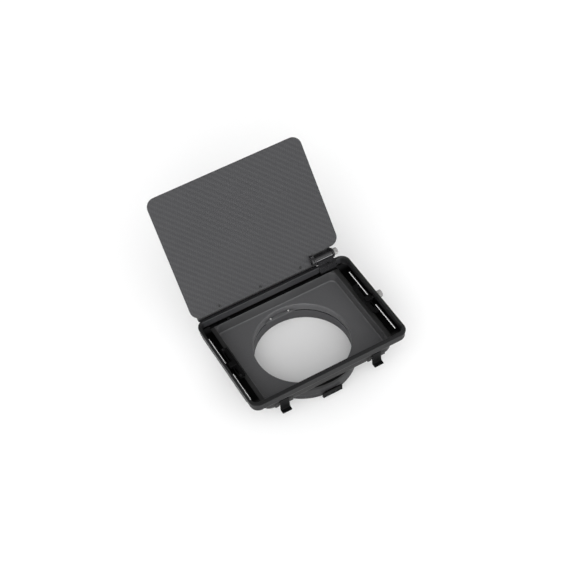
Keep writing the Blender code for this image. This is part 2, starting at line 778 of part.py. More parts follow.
def side_clips():
    """The fixed clip on the left, and the one that the side lock screw moves."""
    fixed = clip_shape("clip_left", -1)
    for y, word in ((CLIP_LOW_Y + 2.5 * MM, "lower"), (CLIP_HIGH_Y - 2.5 * MM, "upper")):
        cut(fixed, rod("clip_hole", 0.9 * MM, (-70.6 * MM, y, 30 * MM), (-70.6 * MM, y, 40 * MM), 8))
        item = screw_part(
            "clip_screw_" + word, (-70.6 * MM, y, CLIP_FRONT_Z + GAP), 1.2 * MM, 0.55 * MM,
            (0.8 * MM, 3.2 * MM), steps=10,
        )
        smooth(finish(item, DARK_STEEL, 0.4, 0.9))
    finish(fixed, BLACK, 0.5)
    moving = clip_shape("clip_right", 1)
    cut(moving, rod(
        "clip_thread", LOCK_SHANK_RADIUS + GAP,
        (CLIP_INNER_X - 0.1 * MM, LOCK_SCREW_Y, LOCK_SCREW_Z),
        (CLIP_OUTER_X + 2 * MM, LOCK_SCREW_Y, LOCK_SCREW_Z), 12,
    ))
    finish(moving, BLACK, 0.5)
    axis = empty("clip_slide", (CLIP_OUTER_X, LOCK_SCREW_Y, LOCK_SCREW_Z))
    carry(axis, moving)


def side_lock_screw():
    """The knurled screw in the hood's right wall that moves the right clip."""
    knob = knurled(
        "side_lock_screw", LOCK_KNOB_RADIUS, 0.35 * MM, 16,
        (LOCK_KNOB_START_X + GAP, LOCK_SCREW_Y, LOCK_SCREW_Z), LOCK_KNOB_LENGTH,
    )
    shank = rod(
        "lock_shank", LOCK_SHANK_RADIUS,
        (CLIP_OUTER_X - 1.2 * MM, LOCK_SCREW_Y, LOCK_SCREW_Z),
        (LOCK_KNOB_START_X + 2 * MM, LOCK_SCREW_Y, LOCK_SCREW_Z), 12,
    )
    socket = rod(
        "lock_socket", 1.4 * MM,
        (LOCK_KNOB_START_X + 3.7 * MM, LOCK_SCREW_Y, LOCK_SCREW_Z),
        (LOCK_KNOB_START_X + 8 * MM, LOCK_SCREW_Y, LOCK_SCREW_Z), 6,
    )
    join(knob, shank)
    cut(knob, socket)
    axis = empty("side_lock_screw_axis", (LOCK_KNOB_START_X, LOCK_SCREW_Y, LOCK_SCREW_Z))
    carry(axis, smooth(finish(knob, STEEL, 0.25, 1.0)))


def rim_screw():
    """A small dark screw on the stage's top rim."""
    item = screw_part(
        "rim_screw", (RIM_SCREW_X, RIM_SCREW_Y, STAGE_RIM_Z + GAP), RIM_SCREW_HEAD, 0.6 * MM,
        (1.0 * MM, 2.4 * MM), steps=12,
    )
    smooth(finish(item, BLACK, 0.35, 0.6))


def hinge_block():
    """The block in the hood's top wall that carries the hinge barrel."""
    block = box(
        "hinge_block",
        (BLOCK_START_X, 50.6 * MM, HOOD_FLOOR_Z + 2 * GAP), (BLOCK_END_X, 55.8 * MM, HOOD_FRONT_Z),
        0.4 * MM, 1,
    )
    neck = box(
        "hinge_neck", (51 * MM, 54.0 * MM, 41 * MM), (66.9 * MM, 57.4 * MM, 46.5 * MM),
    )
    barrel = rod(
        "hinge_barrel", BARREL_RADIUS, (BARREL_START_X, HINGE_Y, HINGE_Z),
        (BARREL_END_X, HINGE_Y, HINGE_Z), 24, 0.3 * MM,
    )
    bore = rod(
        "hinge_bore", HINGE_BORE_RADIUS, (BARREL_START_X - 3 * MM, HINGE_Y, HINGE_Z),
        (BARREL_END_X + 3 * MM, HINGE_Y, HINGE_Z), 16,
    )
    split = box(
        "barrel_split",
        (BARREL_START_X - 1 * MM, HINGE_Y - 0.35 * MM, HINGE_Z + 1 * MM),
        (BARREL_END_X + 1 * MM, HINGE_Y + 0.35 * MM, HINGE_Z + 5 * MM),
    )
    screw_hole = rod(
        "block_screw_hole", 1.0 * MM, (60.5 * MM, 52.3 * MM, 36 * MM), (60.5 * MM, 52.3 * MM, 44 * MM), 10,
    )
    join(block, neck, barrel)
    cut(block, bore, split, screw_hole)
    smooth(finish(block, SOFT_BLACK, 0.4))
    item = screw_part(
        "hinge_block_screw", (60.5 * MM, 52.3 * MM, HOOD_FRONT_Z + 0.2 * MM), 1.25 * MM, 0.6 * MM,
        (0.5 * MM, 4.5 * MM), steps=10,
    )
    smooth(finish(item, DARK_STEEL, 0.35, 0.9))


def along_flag(distance):
    """Distance from the hinge axis, along the flag, of a point measured from its lower edge."""
    return distance - EDGE_TO_AXIS


def off_flag(distance):
    """Distance from the hinge axis, out from the flag, of a point measured from its inner face."""
    return distance - FACE_TO_AXIS


def flag_rod(name, x, up, low, high):
    """A cutter across the flag for a small screw, up from the lower edge."""
    return rod(name, 0.9 * MM, (x, along_flag(up), low), (x, along_flag(up), high), 10)


def flag_panel():
    """The flag: a thin panel with round corners, cut away round the hinge."""
    half = FLAG_WIDTH / 2
    low = off_flag(-FLAG_THICKNESS)
    high = off_flag(0)
    panel = box(
        "flag_panel", (-half, along_flag(0), low), (half, along_flag(FLAG_LENGTH), high),
        FLAG_CORNER, 6,
    )
    notch = box(
        "flag_notch",
        (FLAG_NOTCH_X, along_flag(-5 * MM), low - 5 * MM),
        (half + 5 * MM, along_flag(FLAG_NOTCH_LENGTH), high + 5 * MM),
    )
    corner = box(
        "flag_corner",
        (half - FLAG_CORNER, along_flag(FLAG_NOTCH_LENGTH - 5 * MM), low - 5 * MM),
        (half + 5 * MM, along_flag(FLAG_NOTCH_LENGTH + FLAG_CORNER), high + 5 * MM),
    )
    round_corner = rod(
        "flag_round_corner", FLAG_CORNER,
        (half - FLAG_CORNER, along_flag(FLAG_NOTCH_LENGTH + FLAG_CORNER), low - 6 * MM),
        (half - FLAG_CORNER, along_flag(FLAG_NOTCH_LENGTH + FLAG_CORNER), high + 6 * MM), 24,
    )
    boolean(corner, round_corner, "DIFFERENCE")
    cut(panel, notch, corner)
    for x in FLAG_SCREWS_X:
        cut(panel, flag_rod("flag_hole", x, FLAG_SCREW_UP, -9 * MM, 5 * MM))
    for x in bracket_screw_places():
        cut(panel, flag_rod("bracket_thread", x, BRACKET_SCREW_UP, low - 2 * MM, high - 0.4 * MM))
    return finish(panel, CARBON, 0.5)


def bracket_screw_places():
    """Two screws hold the hinge bracket to the flag's back."""
    return (51 * MM, 66 * MM)


def flag_rail():
    """The stiffening rail behind the flag's lower edge, which closes the gap to the hood."""
    high = off_flag(-FLAG_THICKNESS - GAP)
    low = high - RAIL_THICKNESS
    rail = box(
        "flag_rail",
        (-77 * MM, along_flag(-RAIL_OVERHANG), low), (45.2 * MM, along_flag(RAIL_LENGTH), high),
        0.6 * MM, 1, axis=0,
    )
    for x in FLAG_SCREWS_X:
        cut(rail, flag_rod("rail_hole", x, FLAG_SCREW_UP, -12 * MM, 5 * MM))
    return finish(rail, BLACK, 0.5)


def hinge_bracket():
    """The forked bracket on the flag whose arms hold the barrel between them."""
    high = off_flag(-FLAG_THICKNESS - GAP)
    low = high - RAIL_THICKNESS
    bracket = box(
        "hinge_bracket", (45.8 * MM, along_flag(1.6 * MM), low), (69.0 * MM, along_flag(17 * MM), high),
        0.5 * MM, 1,
    )
    for start, end in ((45.8 * MM, 49.2 * MM), (67.7 * MM, 69.0 * MM)):
        arm = rod("bracket_arm", ARM_RADIUS, (start, 0, 0), (end, 0, 0), 24, 0.2 * MM)
        web = box(
            "bracket_web",
            (start, along_flag(1.8 * MM), low + 0.3 * MM), (end, along_flag(8.6 * MM), 2.2 * MM),
        )
        join(bracket, arm, web)
    groove = box("arm_groove", (47.2 * MM, -10 * MM, 2.6 * MM), (47.8 * MM, 10 * MM, 8 * MM))
    bore = rod("bracket_bore", HINGE_BORE_RADIUS, (44 * MM, 0, 0), (72 * MM, 0, 0), 16)
    cut(bracket, groove, bore)
    for x in bracket_screw_places():
        cut(bracket, flag_rod("bracket_hole", x, BRACKET_SCREW_UP, low - 2 * MM, high + 2 * MM))
    return smooth(finish(bracket, BLACK, 0.45))


def flag_screws():
    """Screws that hold the flag to its rail and the bracket to the flag."""
    items = []
    for index, x in enumerate(FLAG_SCREWS_X, 1):
        item = screw_part(
            "flag_screw_%d" % index, (x, along_flag(FLAG_SCREW_UP), off_flag(0.15 * MM)),
            1.4 * MM, 0.6 * MM, (0.5 * MM, 3.6 * MM), steps=12,
        )
        items.append(smooth(finish(item, BLACK, 0.35, 0.6)))
    rear = off_flag(-FLAG_THICKNESS - GAP) - RAIL_THICKNESS - 0.15 * MM
    for index, x in enumerate(bracket_screw_places(), 1):
        item = screw_part(
            "bracket_screw_%d" % index, (x, along_flag(BRACKET_SCREW_UP), rear),
            1.5 * MM, 0.6 * MM, (0.7 * MM, 3.3 * MM), (math.pi, 0, 0), 10,
        )
        items.append(smooth(finish(item, DARK_STEEL, 0.4, 0.9)))
    return items


def tension_screw():
    """The knurled screw through the hinge that sets how stiffly the flag turns."""
    knob = knurled("tension_screw", 3.4 * MM, 0.3 * MM, 16, (69.3 * MM, 0, 0), 4.0 * MM)
    shank = rod("tension_shank", HINGE_SHANK_RADIUS, (46.2 * MM, 0, 0), (71 * MM, 0, 0), 16)
    socket = rod("tension_socket", 1.4 * MM, (72.2 * MM, 0, 0), (76 * MM, 0, 0), 6)
    join(knob, shank)
    cut(knob, socket)
    return smooth(finish(knob, STEEL, 0.25, 1.0))


def flag_assembly():
    """Everything that folds with the flag, built in the hinge's own frame."""
    axis = empty("flag_axis", (0, HINGE_Y, HINGE_Z), (FLAG_ANGLE, 0, 0))
    hang(axis, flag_panel(), flag_rail(), hinge_bracket(), tension_screw(), *flag_screws())
    for item in cutters.objects:
        if item.parent is None and is_flag_cutter(item.name):
            item.parent = axis


def is_flag_cutter(name):
    """Whether a cutter belongs to the flag's pieces, which are built about the hinge axis."""
    starts = ("flag_", "rail_", "bracket_", "arm_groove", "tension_")
    return name.startswith(starts)


def latch(side, word):
    """One latch lever with its pin and its return spring."""
    middle = side * LATCH_X
    half = LATCH_WIDTH / 2
    lever = box(
        "latch_" + word,
        (middle - half, LATCH_PLATE_OUTER_Y, LATCH_TIP_Z + 0.2 * MM),
        (middle + half, LATCH_PLATE_INNER_Y, LATCH_TOP_Z),
        0.5 * MM, 1,
    )
    tip = box(
        "latch_tip",
        (middle - half, LATCH_TIP_Y, LATCH_TIP_Z),
        (middle + half, LATCH_PLATE_INNER_Y - 0.2 * MM, LATCH_TIP_Z + LATCH_TIP_THICKNESS),
        1.6 * MM, 3,
    )
    nose = box(
        "latch_nose",
        (middle - 3.5 * MM, LATCH_PLATE_INNER_Y - 0.5 * MM, 24.6 * MM),
        (middle + 3.5 * MM, -45.6 * MM, 26.4 * MM),
    )
    join(lever, tip, nose)
    for edge in (-1, 1):
        edges = sorted((middle + edge * 2.3 * MM, middle + edge * half))
        barrel = rod(
            "latch_barrel", LATCH_BARREL_RADIUS, (edges[0], LATCH_PIVOT_Y, LATCH_PIVOT_Z),
            (edges[1], LATCH_PIVOT_Y, LATCH_PIVOT_Z), 16,
        )
        web = box(
            "latch_web",
            (edges[0] + 0.05 * MM, LATCH_PLATE_INNER_Y - 0.4 * MM, LATCH_PIVOT_Z - 1.2 * MM),
            (edges[1] - 0.05 * MM, LATCH_PIVOT_Y, LATCH_PIVOT_Z + 1.2 * MM),
        )
        join(lever, barrel, web)
    hole = rod(
        "latch_hole", LATCH_HOLE_RADIUS, (middle - 8 * MM, LATCH_PIVOT_Y, LATCH_PIVOT_Z),
        (middle + 8 * MM, LATCH_PIVOT_Y, LATCH_PIVOT_Z), 12,
    )
    cut(lever, hole)
    axis = empty("latch_axis_" + word, (middle, LATCH_PIVOT_Y, LATCH_PIVOT_Z))
    carry(axis, smooth(finish(lever, BLACK, 0.5)))
    reach = half + GAP + 1.2 * MM
    pin = rod(
        "latch_pin_" + word, LATCH_PIN_RADIUS, (middle - reach, LATCH_PIVOT_Y, LATCH_PIVOT_Z),
        (middle + reach, LATCH_PIVOT_Y, LATCH_PIVOT_Z), 12,
    )
    smooth(finish(pin, STEEL, 0.3, 1.0))
    latch_spring("latch_spring_" + word, middle)


def spring_points(middle):
    """Points of a torsion spring about X, with a straight leg at each end."""
    count = SPRING_TURNS * SPRING_POINTS
    start_x = middle - SPRING_TURNS * SPRING_PITCH / 2
    points = [Vector((start_x, LATCH_PIVOT_Y + 1.7 * MM, LATCH_PIVOT_Z - SPRING_RADIUS))]
    for index in range(count - 2 * SPRING_POINTS // 4 + 1):
        angle = -math.pi / 2 - 2 * math.pi * index / SPRING_POINTS
        points.append(Vector((
            start_x + SPRING_PITCH * index / SPRING_POINTS,
            LATCH_PIVOT_Y + SPRING_RADIUS * math.cos(angle),
            LATCH_PIVOT_Z + SPRING_RADIUS * math.sin(angle),
        )))
    last = points[-1]
    points.append(Vector((last.x, last.y, LATCH_PIVOT_Z + 2.1 * MM)))
    return points


def least_gap(points, wire):
    """The least clear distance between turns that aren't neighbours along the wire."""
    apart = SPRING_POINTS // 2
    dense = []
    for first, second in zip(points, points[1:]):
        dense.extend(first.lerp(second, step / 6) for step in range(6))
    least = 1.0
    for index, point in enumerate(dense):
        for other in dense[index + apart * 6:]:
            least = min(least, (point - other).length)
    return least - wire


def latch_spring(name, middle):
    """A torsion spring wound round the latch pin, one unbroken wire."""
    points = spring_points(middle)
    print(name, "least gap to itself, mm:", round(least_gap(points, SPRING_WIRE) / MM, 3))
    curve = bpy.data.curves.new(name, "CURVE")
    curve.dimensions = "3D"
    curve.bevel_depth = SPRING_WIRE / 2
    curve.bevel_resolution = 1
    curve.use_fill_caps = True
    spline = curve.splines.new("POLY")
    spline.points.add(len(points) - 1)
    for place, point in zip(spline.points, points):
        place.co = (*point, 1.0)
    item = bpy.data.objects.new(name, curve)
    parts.objects.link(item)
    finish(item, STEEL, 0.3, 1.0)
    return item


def build():
    """Make the whole object."""
    clear_scene()
    hood_frame()
    side_grips()
    stage_body()
    stage_screws()
    rear_bumpers()
    bore_plate()
    light_seal()
    ring_housing()
    ring_screws()
    retaining_ring()
    lock_ring()
    side_clips()
    side_lock_screw()
    rim_screw()
    hinge_block()
    flag_assembly()
    for side, word in latch_sides():
        latch(side, word)


build()
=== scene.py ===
"""The looks of a clip-on matte box with a folding carbon flag, lying on its rear ring.

Every piece is made in the frame's own coordinates, in metres.  +Z is the hood's open front,
+Y the flag's hinge and +X the side lock screw.  What folds with the flag is made in the
hinge's own frame and turned into place.
"""

import json
import math

import bmesh
import bpy
from bpy.props import FloatProperty, FloatVectorProperty, IntProperty, PointerProperty
from mathutils import Matrix, Vector

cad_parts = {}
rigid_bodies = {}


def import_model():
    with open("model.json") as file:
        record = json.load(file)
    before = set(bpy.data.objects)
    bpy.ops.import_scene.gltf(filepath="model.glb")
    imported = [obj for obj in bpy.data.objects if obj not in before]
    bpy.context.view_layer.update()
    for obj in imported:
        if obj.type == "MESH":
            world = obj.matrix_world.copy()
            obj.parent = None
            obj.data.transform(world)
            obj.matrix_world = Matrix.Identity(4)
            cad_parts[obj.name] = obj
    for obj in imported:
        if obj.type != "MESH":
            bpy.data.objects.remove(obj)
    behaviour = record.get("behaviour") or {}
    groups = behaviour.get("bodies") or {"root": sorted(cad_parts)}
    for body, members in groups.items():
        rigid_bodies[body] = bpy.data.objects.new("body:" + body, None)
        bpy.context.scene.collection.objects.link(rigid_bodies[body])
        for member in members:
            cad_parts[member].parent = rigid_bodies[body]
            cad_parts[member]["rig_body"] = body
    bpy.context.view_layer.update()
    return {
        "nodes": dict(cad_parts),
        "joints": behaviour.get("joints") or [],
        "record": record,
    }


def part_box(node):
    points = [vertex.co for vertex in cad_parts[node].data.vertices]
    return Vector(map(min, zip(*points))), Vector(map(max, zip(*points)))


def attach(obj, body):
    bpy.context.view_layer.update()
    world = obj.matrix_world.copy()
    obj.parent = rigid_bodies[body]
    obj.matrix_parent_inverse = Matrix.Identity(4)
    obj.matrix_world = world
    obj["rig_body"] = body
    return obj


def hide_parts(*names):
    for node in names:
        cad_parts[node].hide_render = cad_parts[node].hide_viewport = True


bl_info = {
    "name": "Matte box looks",
    "version": (1, 0, 0),
    "blender": (4, 5, 0),
    "location": "View3D > Sidebar > Matte box",
    "description": "Builds the finished pieces of a clip-on matte box round its frame",
    "category": "Add Mesh",
}

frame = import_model()

MM = 0.001
GAP = 0.3 * MM

# How far a cutter reaches past what it cuts
PAST = 1 * MM
WELL_PAST = 5 * MM

# Turns of a shape's own Z, which is the way that prisms and turned pieces grow
UP = Matrix()
DOWN = Matrix.Rotation(math.pi, 4, "X")
FORWARD = Matrix.Rotation(math.pi / 2, 4, "X")
ALONG_X = Matrix(((0, 0, 1, 0), (1, 0, 0, 0), (0, 1, 0, 0), (0, 0, 0, 1)))

# Hood
LIP_THICKNESS = 1.4 * MM
LIP_OVERHANG = 0.8 * MM
LIP_REAR_EDGE = 0.2 * MM
MOUTH_HALF_WIDTH = 77.6 * MM
MOUTH_LOW_Y = -53.0 * MM
MOUTH_HIGH_Y = 52.6 * MM
MOUTH_CORNER = 6.5 * MM
MOUTH_FLOOR_EDGE = 0.5 * MM
MOUTH_FLARE = 0.35 * MM
HOOD_FLOOR_Z = 34.0 * MM
HOOD_REAR_ROUNDING = 2.8 * MM
FLOOR_OPENING = (68.3 * MM, -50.0 * MM, 52.0 * MM)
OPENING_CORNER = 3 * MM
SLOT_EDGES = {-1: (74.3 * MM, 75.2 * MM), 1: (74.0 * MM, 75.5 * MM)}
SLOT_SPANS = ((5.4 * MM, 40.0 * MM), (-42.0 * MM, -7.2 * MM))
SLOT_CORNER = 0.4 * MM
STAGE_SCREW_X = 69.9 * MM
STAGE_SCREW_YS = (-37.0 * MM, 1.5 * MM, 38.0 * MM)
SCREW_SINK_RADIUS = 1.0 * MM
SCREW_SINK_DEPTH = 1.2 * MM
GRIP_DEPTH = 0.38 * MM
GRIP_RIM_SINK = 0.1 * MM

# Stage
STAGE_HALF_WIDTH = 68.0 * MM
STAGE_FLOOR_Z = 20.0 * MM
STAGE_REAR_Z = 18.4 * MM
STAGE_RIM_Z = 32.0 * MM
STAGE_LOW_Y = -51.3 * MM
STAGE_HIGH_Y = 51.7 * MM
STAGE_ROUNDING = 3.4 * MM
STAGE_CORNER = 11.0 * MM
FLANGE_THICKNESS = 2.0 * MM
FLANGE_SPAN_Y = (-53.2 * MM, 53.2 * MM)
FLANGE_HALF_WIDTH = 71.5 * MM
FLANGE_CORNER = 4 * MM
FLANGE_EDGE = 0.25 * MM
TRAY_HALF_WIDTH = 63.4 * MM
TRAY_LOW_Y = -46.6 * MM
TRAY_HIGH_Y = 49.8 * MM
TRAY_CORNER = 6.5 * MM
TRAY_FLOOR_EDGE = 1.0 * MM
TRAY_FLARE = 0.3 * MM
STAGE_SCREW_HOLE = 1.1 * MM

# Bore and rings
BORE_RADIUS = 45.5 * MM
BORE_CHAMFER = 0.8 * MM
SPIGOT_RADIUS = 47.5 * MM
SPIGOT_END_Z = 12.4 * MM
SLEEVE_INNER = 45.6 * MM
SLEEVE_OUTER = 47.0 * MM
SEAL_INNER = 46.3 * MM
FLANGE_FRONT_Z = 2.2 * MM
CHORD_Y = 42.0 * MM
CHORD_HALF_WIDTH = 18.0 * MM
LEDGE_FRONT_Z = 13.4 * MM
HOUSING_FRONT_Z = 18.1 * MM
PLATE_RADIUS = 44.9 * MM
LOCK_RING_OUTER = 50.3 * MM
LOCK_ARM = ((-6 * MM, -52 * MM, 3.2 * MM), (6 * MM, -48.6 * MM, 7 * MM))
RING_SCREW_TURNS = (45, 135, 225, 315)
RING_SCREW_RADIUS = 50.0 * MM
RING_SINK_RADIUS = 1.7 * MM
RING_SINK_DEPTH = 1.6 * MM
NOTCH_HALF_WIDTH = 1.5 * MM
NOTCH_DEPTH = 0.9 * MM
NOTCH_SPAN = (47.3 * MM, 52 * MM)
TAB_INNER_Y = -52.3 * MM
TAB_LIP_Y = -53.0 * MM
TAB_STEP_Z = 7.4 * MM
TAB_SCREW_X = 3.6 * MM
TAB_SCREW_Z = 5.1 * MM

# Side clips, given for the right-hand one
CLIP_INNER_X = 68.6 * MM
CLIP_OUTER_X = 72.4 * MM
CLIP_FRONT_Z = 36.3 * MM
CLIP_NOSE_X = 66.2 * MM
CLIP_BOSS_HALF_WIDTH = 2.7 * MM
CLIP_WINDOWS = ((3.5 * MM, 15.5 * MM), (-12.5 * MM, -5.0 * MM))

# Side lock screw and flag hinge
LOCK_SCREW_Y = -0.7 * MM
LOCK_SCREW_Z = 36.1 * MM
LOCK_SHANK_RADIUS = 1.1 * MM
LOCK_KNURL_RADIUS = 3.7 * MM
LOCK_KNURL_START_X = 80.6 * MM
TENSION_KNURL_RADIUS = 3.4 * MM
TENSION_KNURL_START_X = 69.3 * MM
HINGE_SHANK_RADIUS = 1.3 * MM
HINGE_BORE_RADIUS = 1.6 * MM
BARREL_RADIUS = 3.4 * MM
BLOCK_SPAN_X = (50.5 * MM, 68.5 * MM)
BLOCK_FRONT_Z = 42.0 * MM
BLOCK_WALL_Y = 55.8 * MM
BLOCK_SCREW_PLACE = (60.5 * MM, 52.3 * MM)
NECK_LOW = (51 * MM, 54.0 * MM)
NECK_HIGH = (66.9 * MM, 57.4 * MM)
BARREL_SPAN_X = (49.6 * MM, 67.4 * MM)
BARREL_SPLIT = 0.7 * MM
GROOVE_FLOOR = 2.4 * MM
BRACKET_ARMS = ((45.8 * MM, 49.2 * MM), (67.7 * MM, 69.0 * MM))
BRACKET_ARM_RADIUS = 4.6 * MM
BRACKET_THICKNESS = 2.0 * MM
BRACKET_LOW = (45.9 * MM, -2.36 * MM)
BRACKET_HIGH = (68.9 * MM, 13.1 * MM)

# Lean in degrees and half width of each groove along the barrel
BARREL_GROOVES = ((53, 0.7 * MM), (86, 0.3 * MM))

# Flag and rail, with spans and heights measured up the flag from the hinge
FLAG_ANGLE = math.radians(51.6)
FLAG_HALF_WIDTH = 79.5 * MM
FLAG_SPAN = (-3.9 * MM, 115.1 * MM)
FLAG_FACE = -2.0 * MM
FLAG_THICKNESS = 1.6 * MM
FLAG_NOTCH = (45.5 * MM, 5.3 * MM)
FLAG_BACK = FLAG_FACE - FLAG_THICKNESS - GAP
RAIL_SPAN_X = (-75 * MM, 45.2 * MM)
RAIL_SPAN = (-7.4 * MM, 8.1 * MM)
RAIL_THICKNESS = 2 * MM
FLAG_SCREW_XS = (-51.5 * MM, -8.5 * MM, 34.5 * MM)
FLAG_SCREW_UP = -0.9 * MM
BRACKET_SCREW_XS = (51.0 * MM, 66.0 * MM)
BRACKET_SCREW_UP = 9.1 * MM

# Latches
LATCH_X = 47.75 * MM
LATCH_WIDTH = 9.5 * MM
LATCH_PIVOT = (-50.2 * MM, 21.7 * MM)
LATCH_PIN_RADIUS = 0.8 * MM
EAR_THICKNESS = 4.0 * MM
EAR_OUTLINE = ((-52.4 * MM, 19.4 * MM), (-49 * MM, 24 * MM))
POCKET_BACK_Y = -48.1 * MM
POCKET_TOP_Z = 24.2 * MM
WINDOW_HALF_WIDTH = 3.9 * MM
WINDOW_SPAN_Z = (23.9 * MM, 27.9 * MM)
LEVER_FACES = (-53.2 * MM, -52.0 * MM)
LEVER_BARREL_RADIUS = 1.7 * MM
FOOT_THICKNESS = 1.7 * MM
NOSE_HALF_WIDTH = 3.5 * MM
NOSE_SPAN_Z = (24.6 * MM, 26.4 * MM)
LATCH_HOLE_RADIUS = 1.1 * MM
SPRING_TURNS = 3.5
SPRING_RADIUS = 1.3 * MM
SPRING_PITCH = 0.85 * MM
SPRING_WIRE_RADIUS = 0.18 * MM

# Camera: where the photograph was taken from
IMAGE_SIZE = 570
SENSOR_WIDTH = 36.0
FOCAL_PIXELS = 1400.0
VIEW_AZIMUTH = math.radians(-24.8)
VIEW_ELEVATION = math.radians(49.1)
VIEW_ROLL = math.radians(-6.1)
VIEW_DISTANCE = 1267.2 * MM
VIEW_SHIFT = (-14.6 * MM, 38.6 * MM)
VIEW_TARGET = Vector((0, -1.0 * MM, 42.0 * MM))

# Light: a dim surround that glows low down and towards the front left, and a lamp there
KEY_WAY = Vector((-0.42, -0.84, 0.36)).normalized()
DIM_SKY = 0.24
KEY_SKY = 2.3
LOW_SKY = 4.1
LAMP_DISTANCE = 1.6
LAMP_SIZE = 0.6
LAMP_POWER = 5.0

# Floor: how far it reaches each way, and how far it lies under the rear ring
FLOOR_REACH = 6.0
FLOOR_DEPTH = 0.1 * MM


def joint_place(name):
    """Where a joint's axis lies in the frame."""
    for joint in frame["joints"]:
        if joint["name"] == name:
            return Vector(joint["pos_m"])
    raise RuntimeError("the frame has no joint named " + name)


def at(x, y, z=0.0, turn=UP):
    """A place in the frame, with a turn of the shape that goes there."""
    return Matrix.Translation((x, y, z)) @ turn


HINGE = joint_place("flag_hinge")
ON_FLAG = at(0, HINGE.y, HINGE.z, Matrix.Rotation(FLAG_ANGLE, 4, "X"))

# Axes that round pieces and holes lie on
HINGE_AXIS = at(0, HINGE.y, HINGE.z, ALONG_X)
FLAG_AXIS = ON_FLAG @ ALONG_X
LOCK_AXIS = at(0, LOCK_SCREW_Y, LOCK_SCREW_Z, ALONG_X)
LATCH_AXIS = at(0, *LATCH_PIVOT, ALONG_X)


class HoodSettings(bpy.types.PropertyGroup):
    """Sizes and colours of the hood and its stage."""

    corner: FloatProperty(
        name="Corner radius", description="Radius of the hood's outer corners",
        default=9.0 * MM, min=0, unit="LENGTH", precision=4,
    )
    lip_edge: FloatProperty(
        name="Lip rounding", description="Rounding of the lip's front edge",
        default=0.45 * MM, min=0, unit="LENGTH", precision=5,
    )
    hood_colour: FloatVectorProperty(
        name="Hood colour", description="Colour of the moulded hood",
        default=(0.006, 0.006, 0.0065), subtype="COLOR", min=0, max=1,
    )
    stage_colour: FloatVectorProperty(
        name="Stage colour", description="Colour of the blasted and anodised stage",
        default=(0.085, 0.085, 0.088), subtype="COLOR", min=0, max=1,
    )
    grip_pitch: FloatProperty(
        name="Grip pitch", description="Distance between the ribs of the side grips",
        default=1.0 * MM, min=0.4 * MM, unit="LENGTH", precision=4,
    )


class FlagSettings(bpy.types.PropertyGroup):
    """Sizes and colours of the flag."""

    corner: FloatProperty(
        name="Corner radius", description="Radius of the flag's corners",
        default=9.0 * MM, min=0, unit="LENGTH", precision=4,
    )
    tow_width: FloatProperty(
        name="Tow width", description="Width of one carbon tow in the twill",
        default=1.6 * MM, min=0.5 * MM, unit="LENGTH", precision=4,
    )
    light_tow: FloatVectorProperty(
        name="Warp colour", description="Colour of the tows that run up the flag",
        default=(0.034, 0.034, 0.036), subtype="COLOR", min=0, max=1,
    )
    dark_tow: FloatVectorProperty(
        name="Weft colour", description="Colour of the tows that run across the flag",
        default=(0.021, 0.021, 0.023), subtype="COLOR", min=0, max=1,
    )


class MetalSettings(bpy.types.PropertyGroup):
    """Sizes and colours of rings, screws and knobs."""

    ring_steps: IntProperty(
        name="Ring steps", description="Facets round the bore and its rings",
        default=144, min=24, max=360,
    )
    knurl_teeth: IntProperty(
        name="Knurl teeth", description="Teeth round each knurled knob",
        default=28, min=8, max=60,
    )
    steel_colour: FloatVectorProperty(
        name="Steel colour", description="Colour of the bright turned steel",
        default=(0.80, 0.79, 0.78), subtype="COLOR", min=0, max=1,
    )
    black_colour: FloatVectorProperty(
        name="Black metal colour", description="Colour of the black anodised metal",
        default=(0.016, 0.016, 0.017), subtype="COLOR", min=0, max=1,
    )


def hood_settings():
    """The hood's settings in this scene."""
    return bpy.context.scene.matte_box_hood


def flag_settings():
    """The flag's settings in this scene."""
    return bpy.context.scene.matte_box_flag


def metal_settings():
    """The settings of metal pieces in this scene."""
    return bpy.context.scene.matte_box_metal


class Wire:
    """A value in a material's node tree: sums and products of wires add Math nodes."""

    def __init__(self, paint, socket):
        self.paint = paint
        self.socket = socket

    def math(self, operation, *values):
        """A Math node on this value and up to two more."""
        inputs = dict(enumerate((self, *values)))
        return self.paint.node("ShaderNodeMath", {"operation": operation}, inputs)

    def __add__(self, other):
        return self.math("ADD", other)

    def __radd__(self, other):
        return self.math("ADD", other)

    def __sub__(self, other):
        return self.math("SUBTRACT", other)

    def __rsub__(self, other):
        return (self * -1.0).math("ADD", other)

    def __mul__(self, other):
        return self.math("MULTIPLY", other)

    def __rmul__(self, other):
        return self.math("MULTIPLY", other)

    def __truediv__(self, other):
        return self.math("DIVIDE", other)

    def __mod__(self, other):
        return self.math("FLOORED_MODULO", other)

    def __lt__(self, other):
        return self.math("LESS_THAN", other)

    def __gt__(self, other):
        return self.math("GREATER_THAN", other)

    def __abs__(self):
        return self.math("ABSOLUTE")

    def floor(self):
        """The whole number below."""
        return self.math("FLOOR")

    def fraction(self):
        """What is left above the whole number."""
        return self.math("FRACT")

    def clamped(self):
        """The value, held between 0 and 1."""
        return self.math("MINIMUM", 1.0).math("MAXIMUM", 0.0)

    def hump(self):
        """A crown that is 0 at 0 and 1, and 1 halfway."""
        across = self * 2.0 - 1.0
        return 1.0 - across * across


class Nodes:
    """A node tree under construction."""

    def __init__(self, tree):
        self.tree = tree

    def feed(self, socket, value):
        """Give a socket a value, or link a wire to it."""
        if isinstance(value, Wire):
            self.tree.links.new(value.socket, socket)
        elif socket.type == "RGBA":
            socket.default_value = (*value[:3], 1.0)
        else:
            socket.default_value = value

    def node(self, kind, settings=None, inputs=None, output=0):
        """A node with its settings and inputs, and a wire from one of its outputs."""
        made = self.tree.nodes.new(kind)
        for key, value in (settings or {}).items():
            setattr(made, key, value)
        for key, value in (inputs or {}).items():
            self.feed(made.inputs[key], value)
        return Wire(self, made.outputs[output])


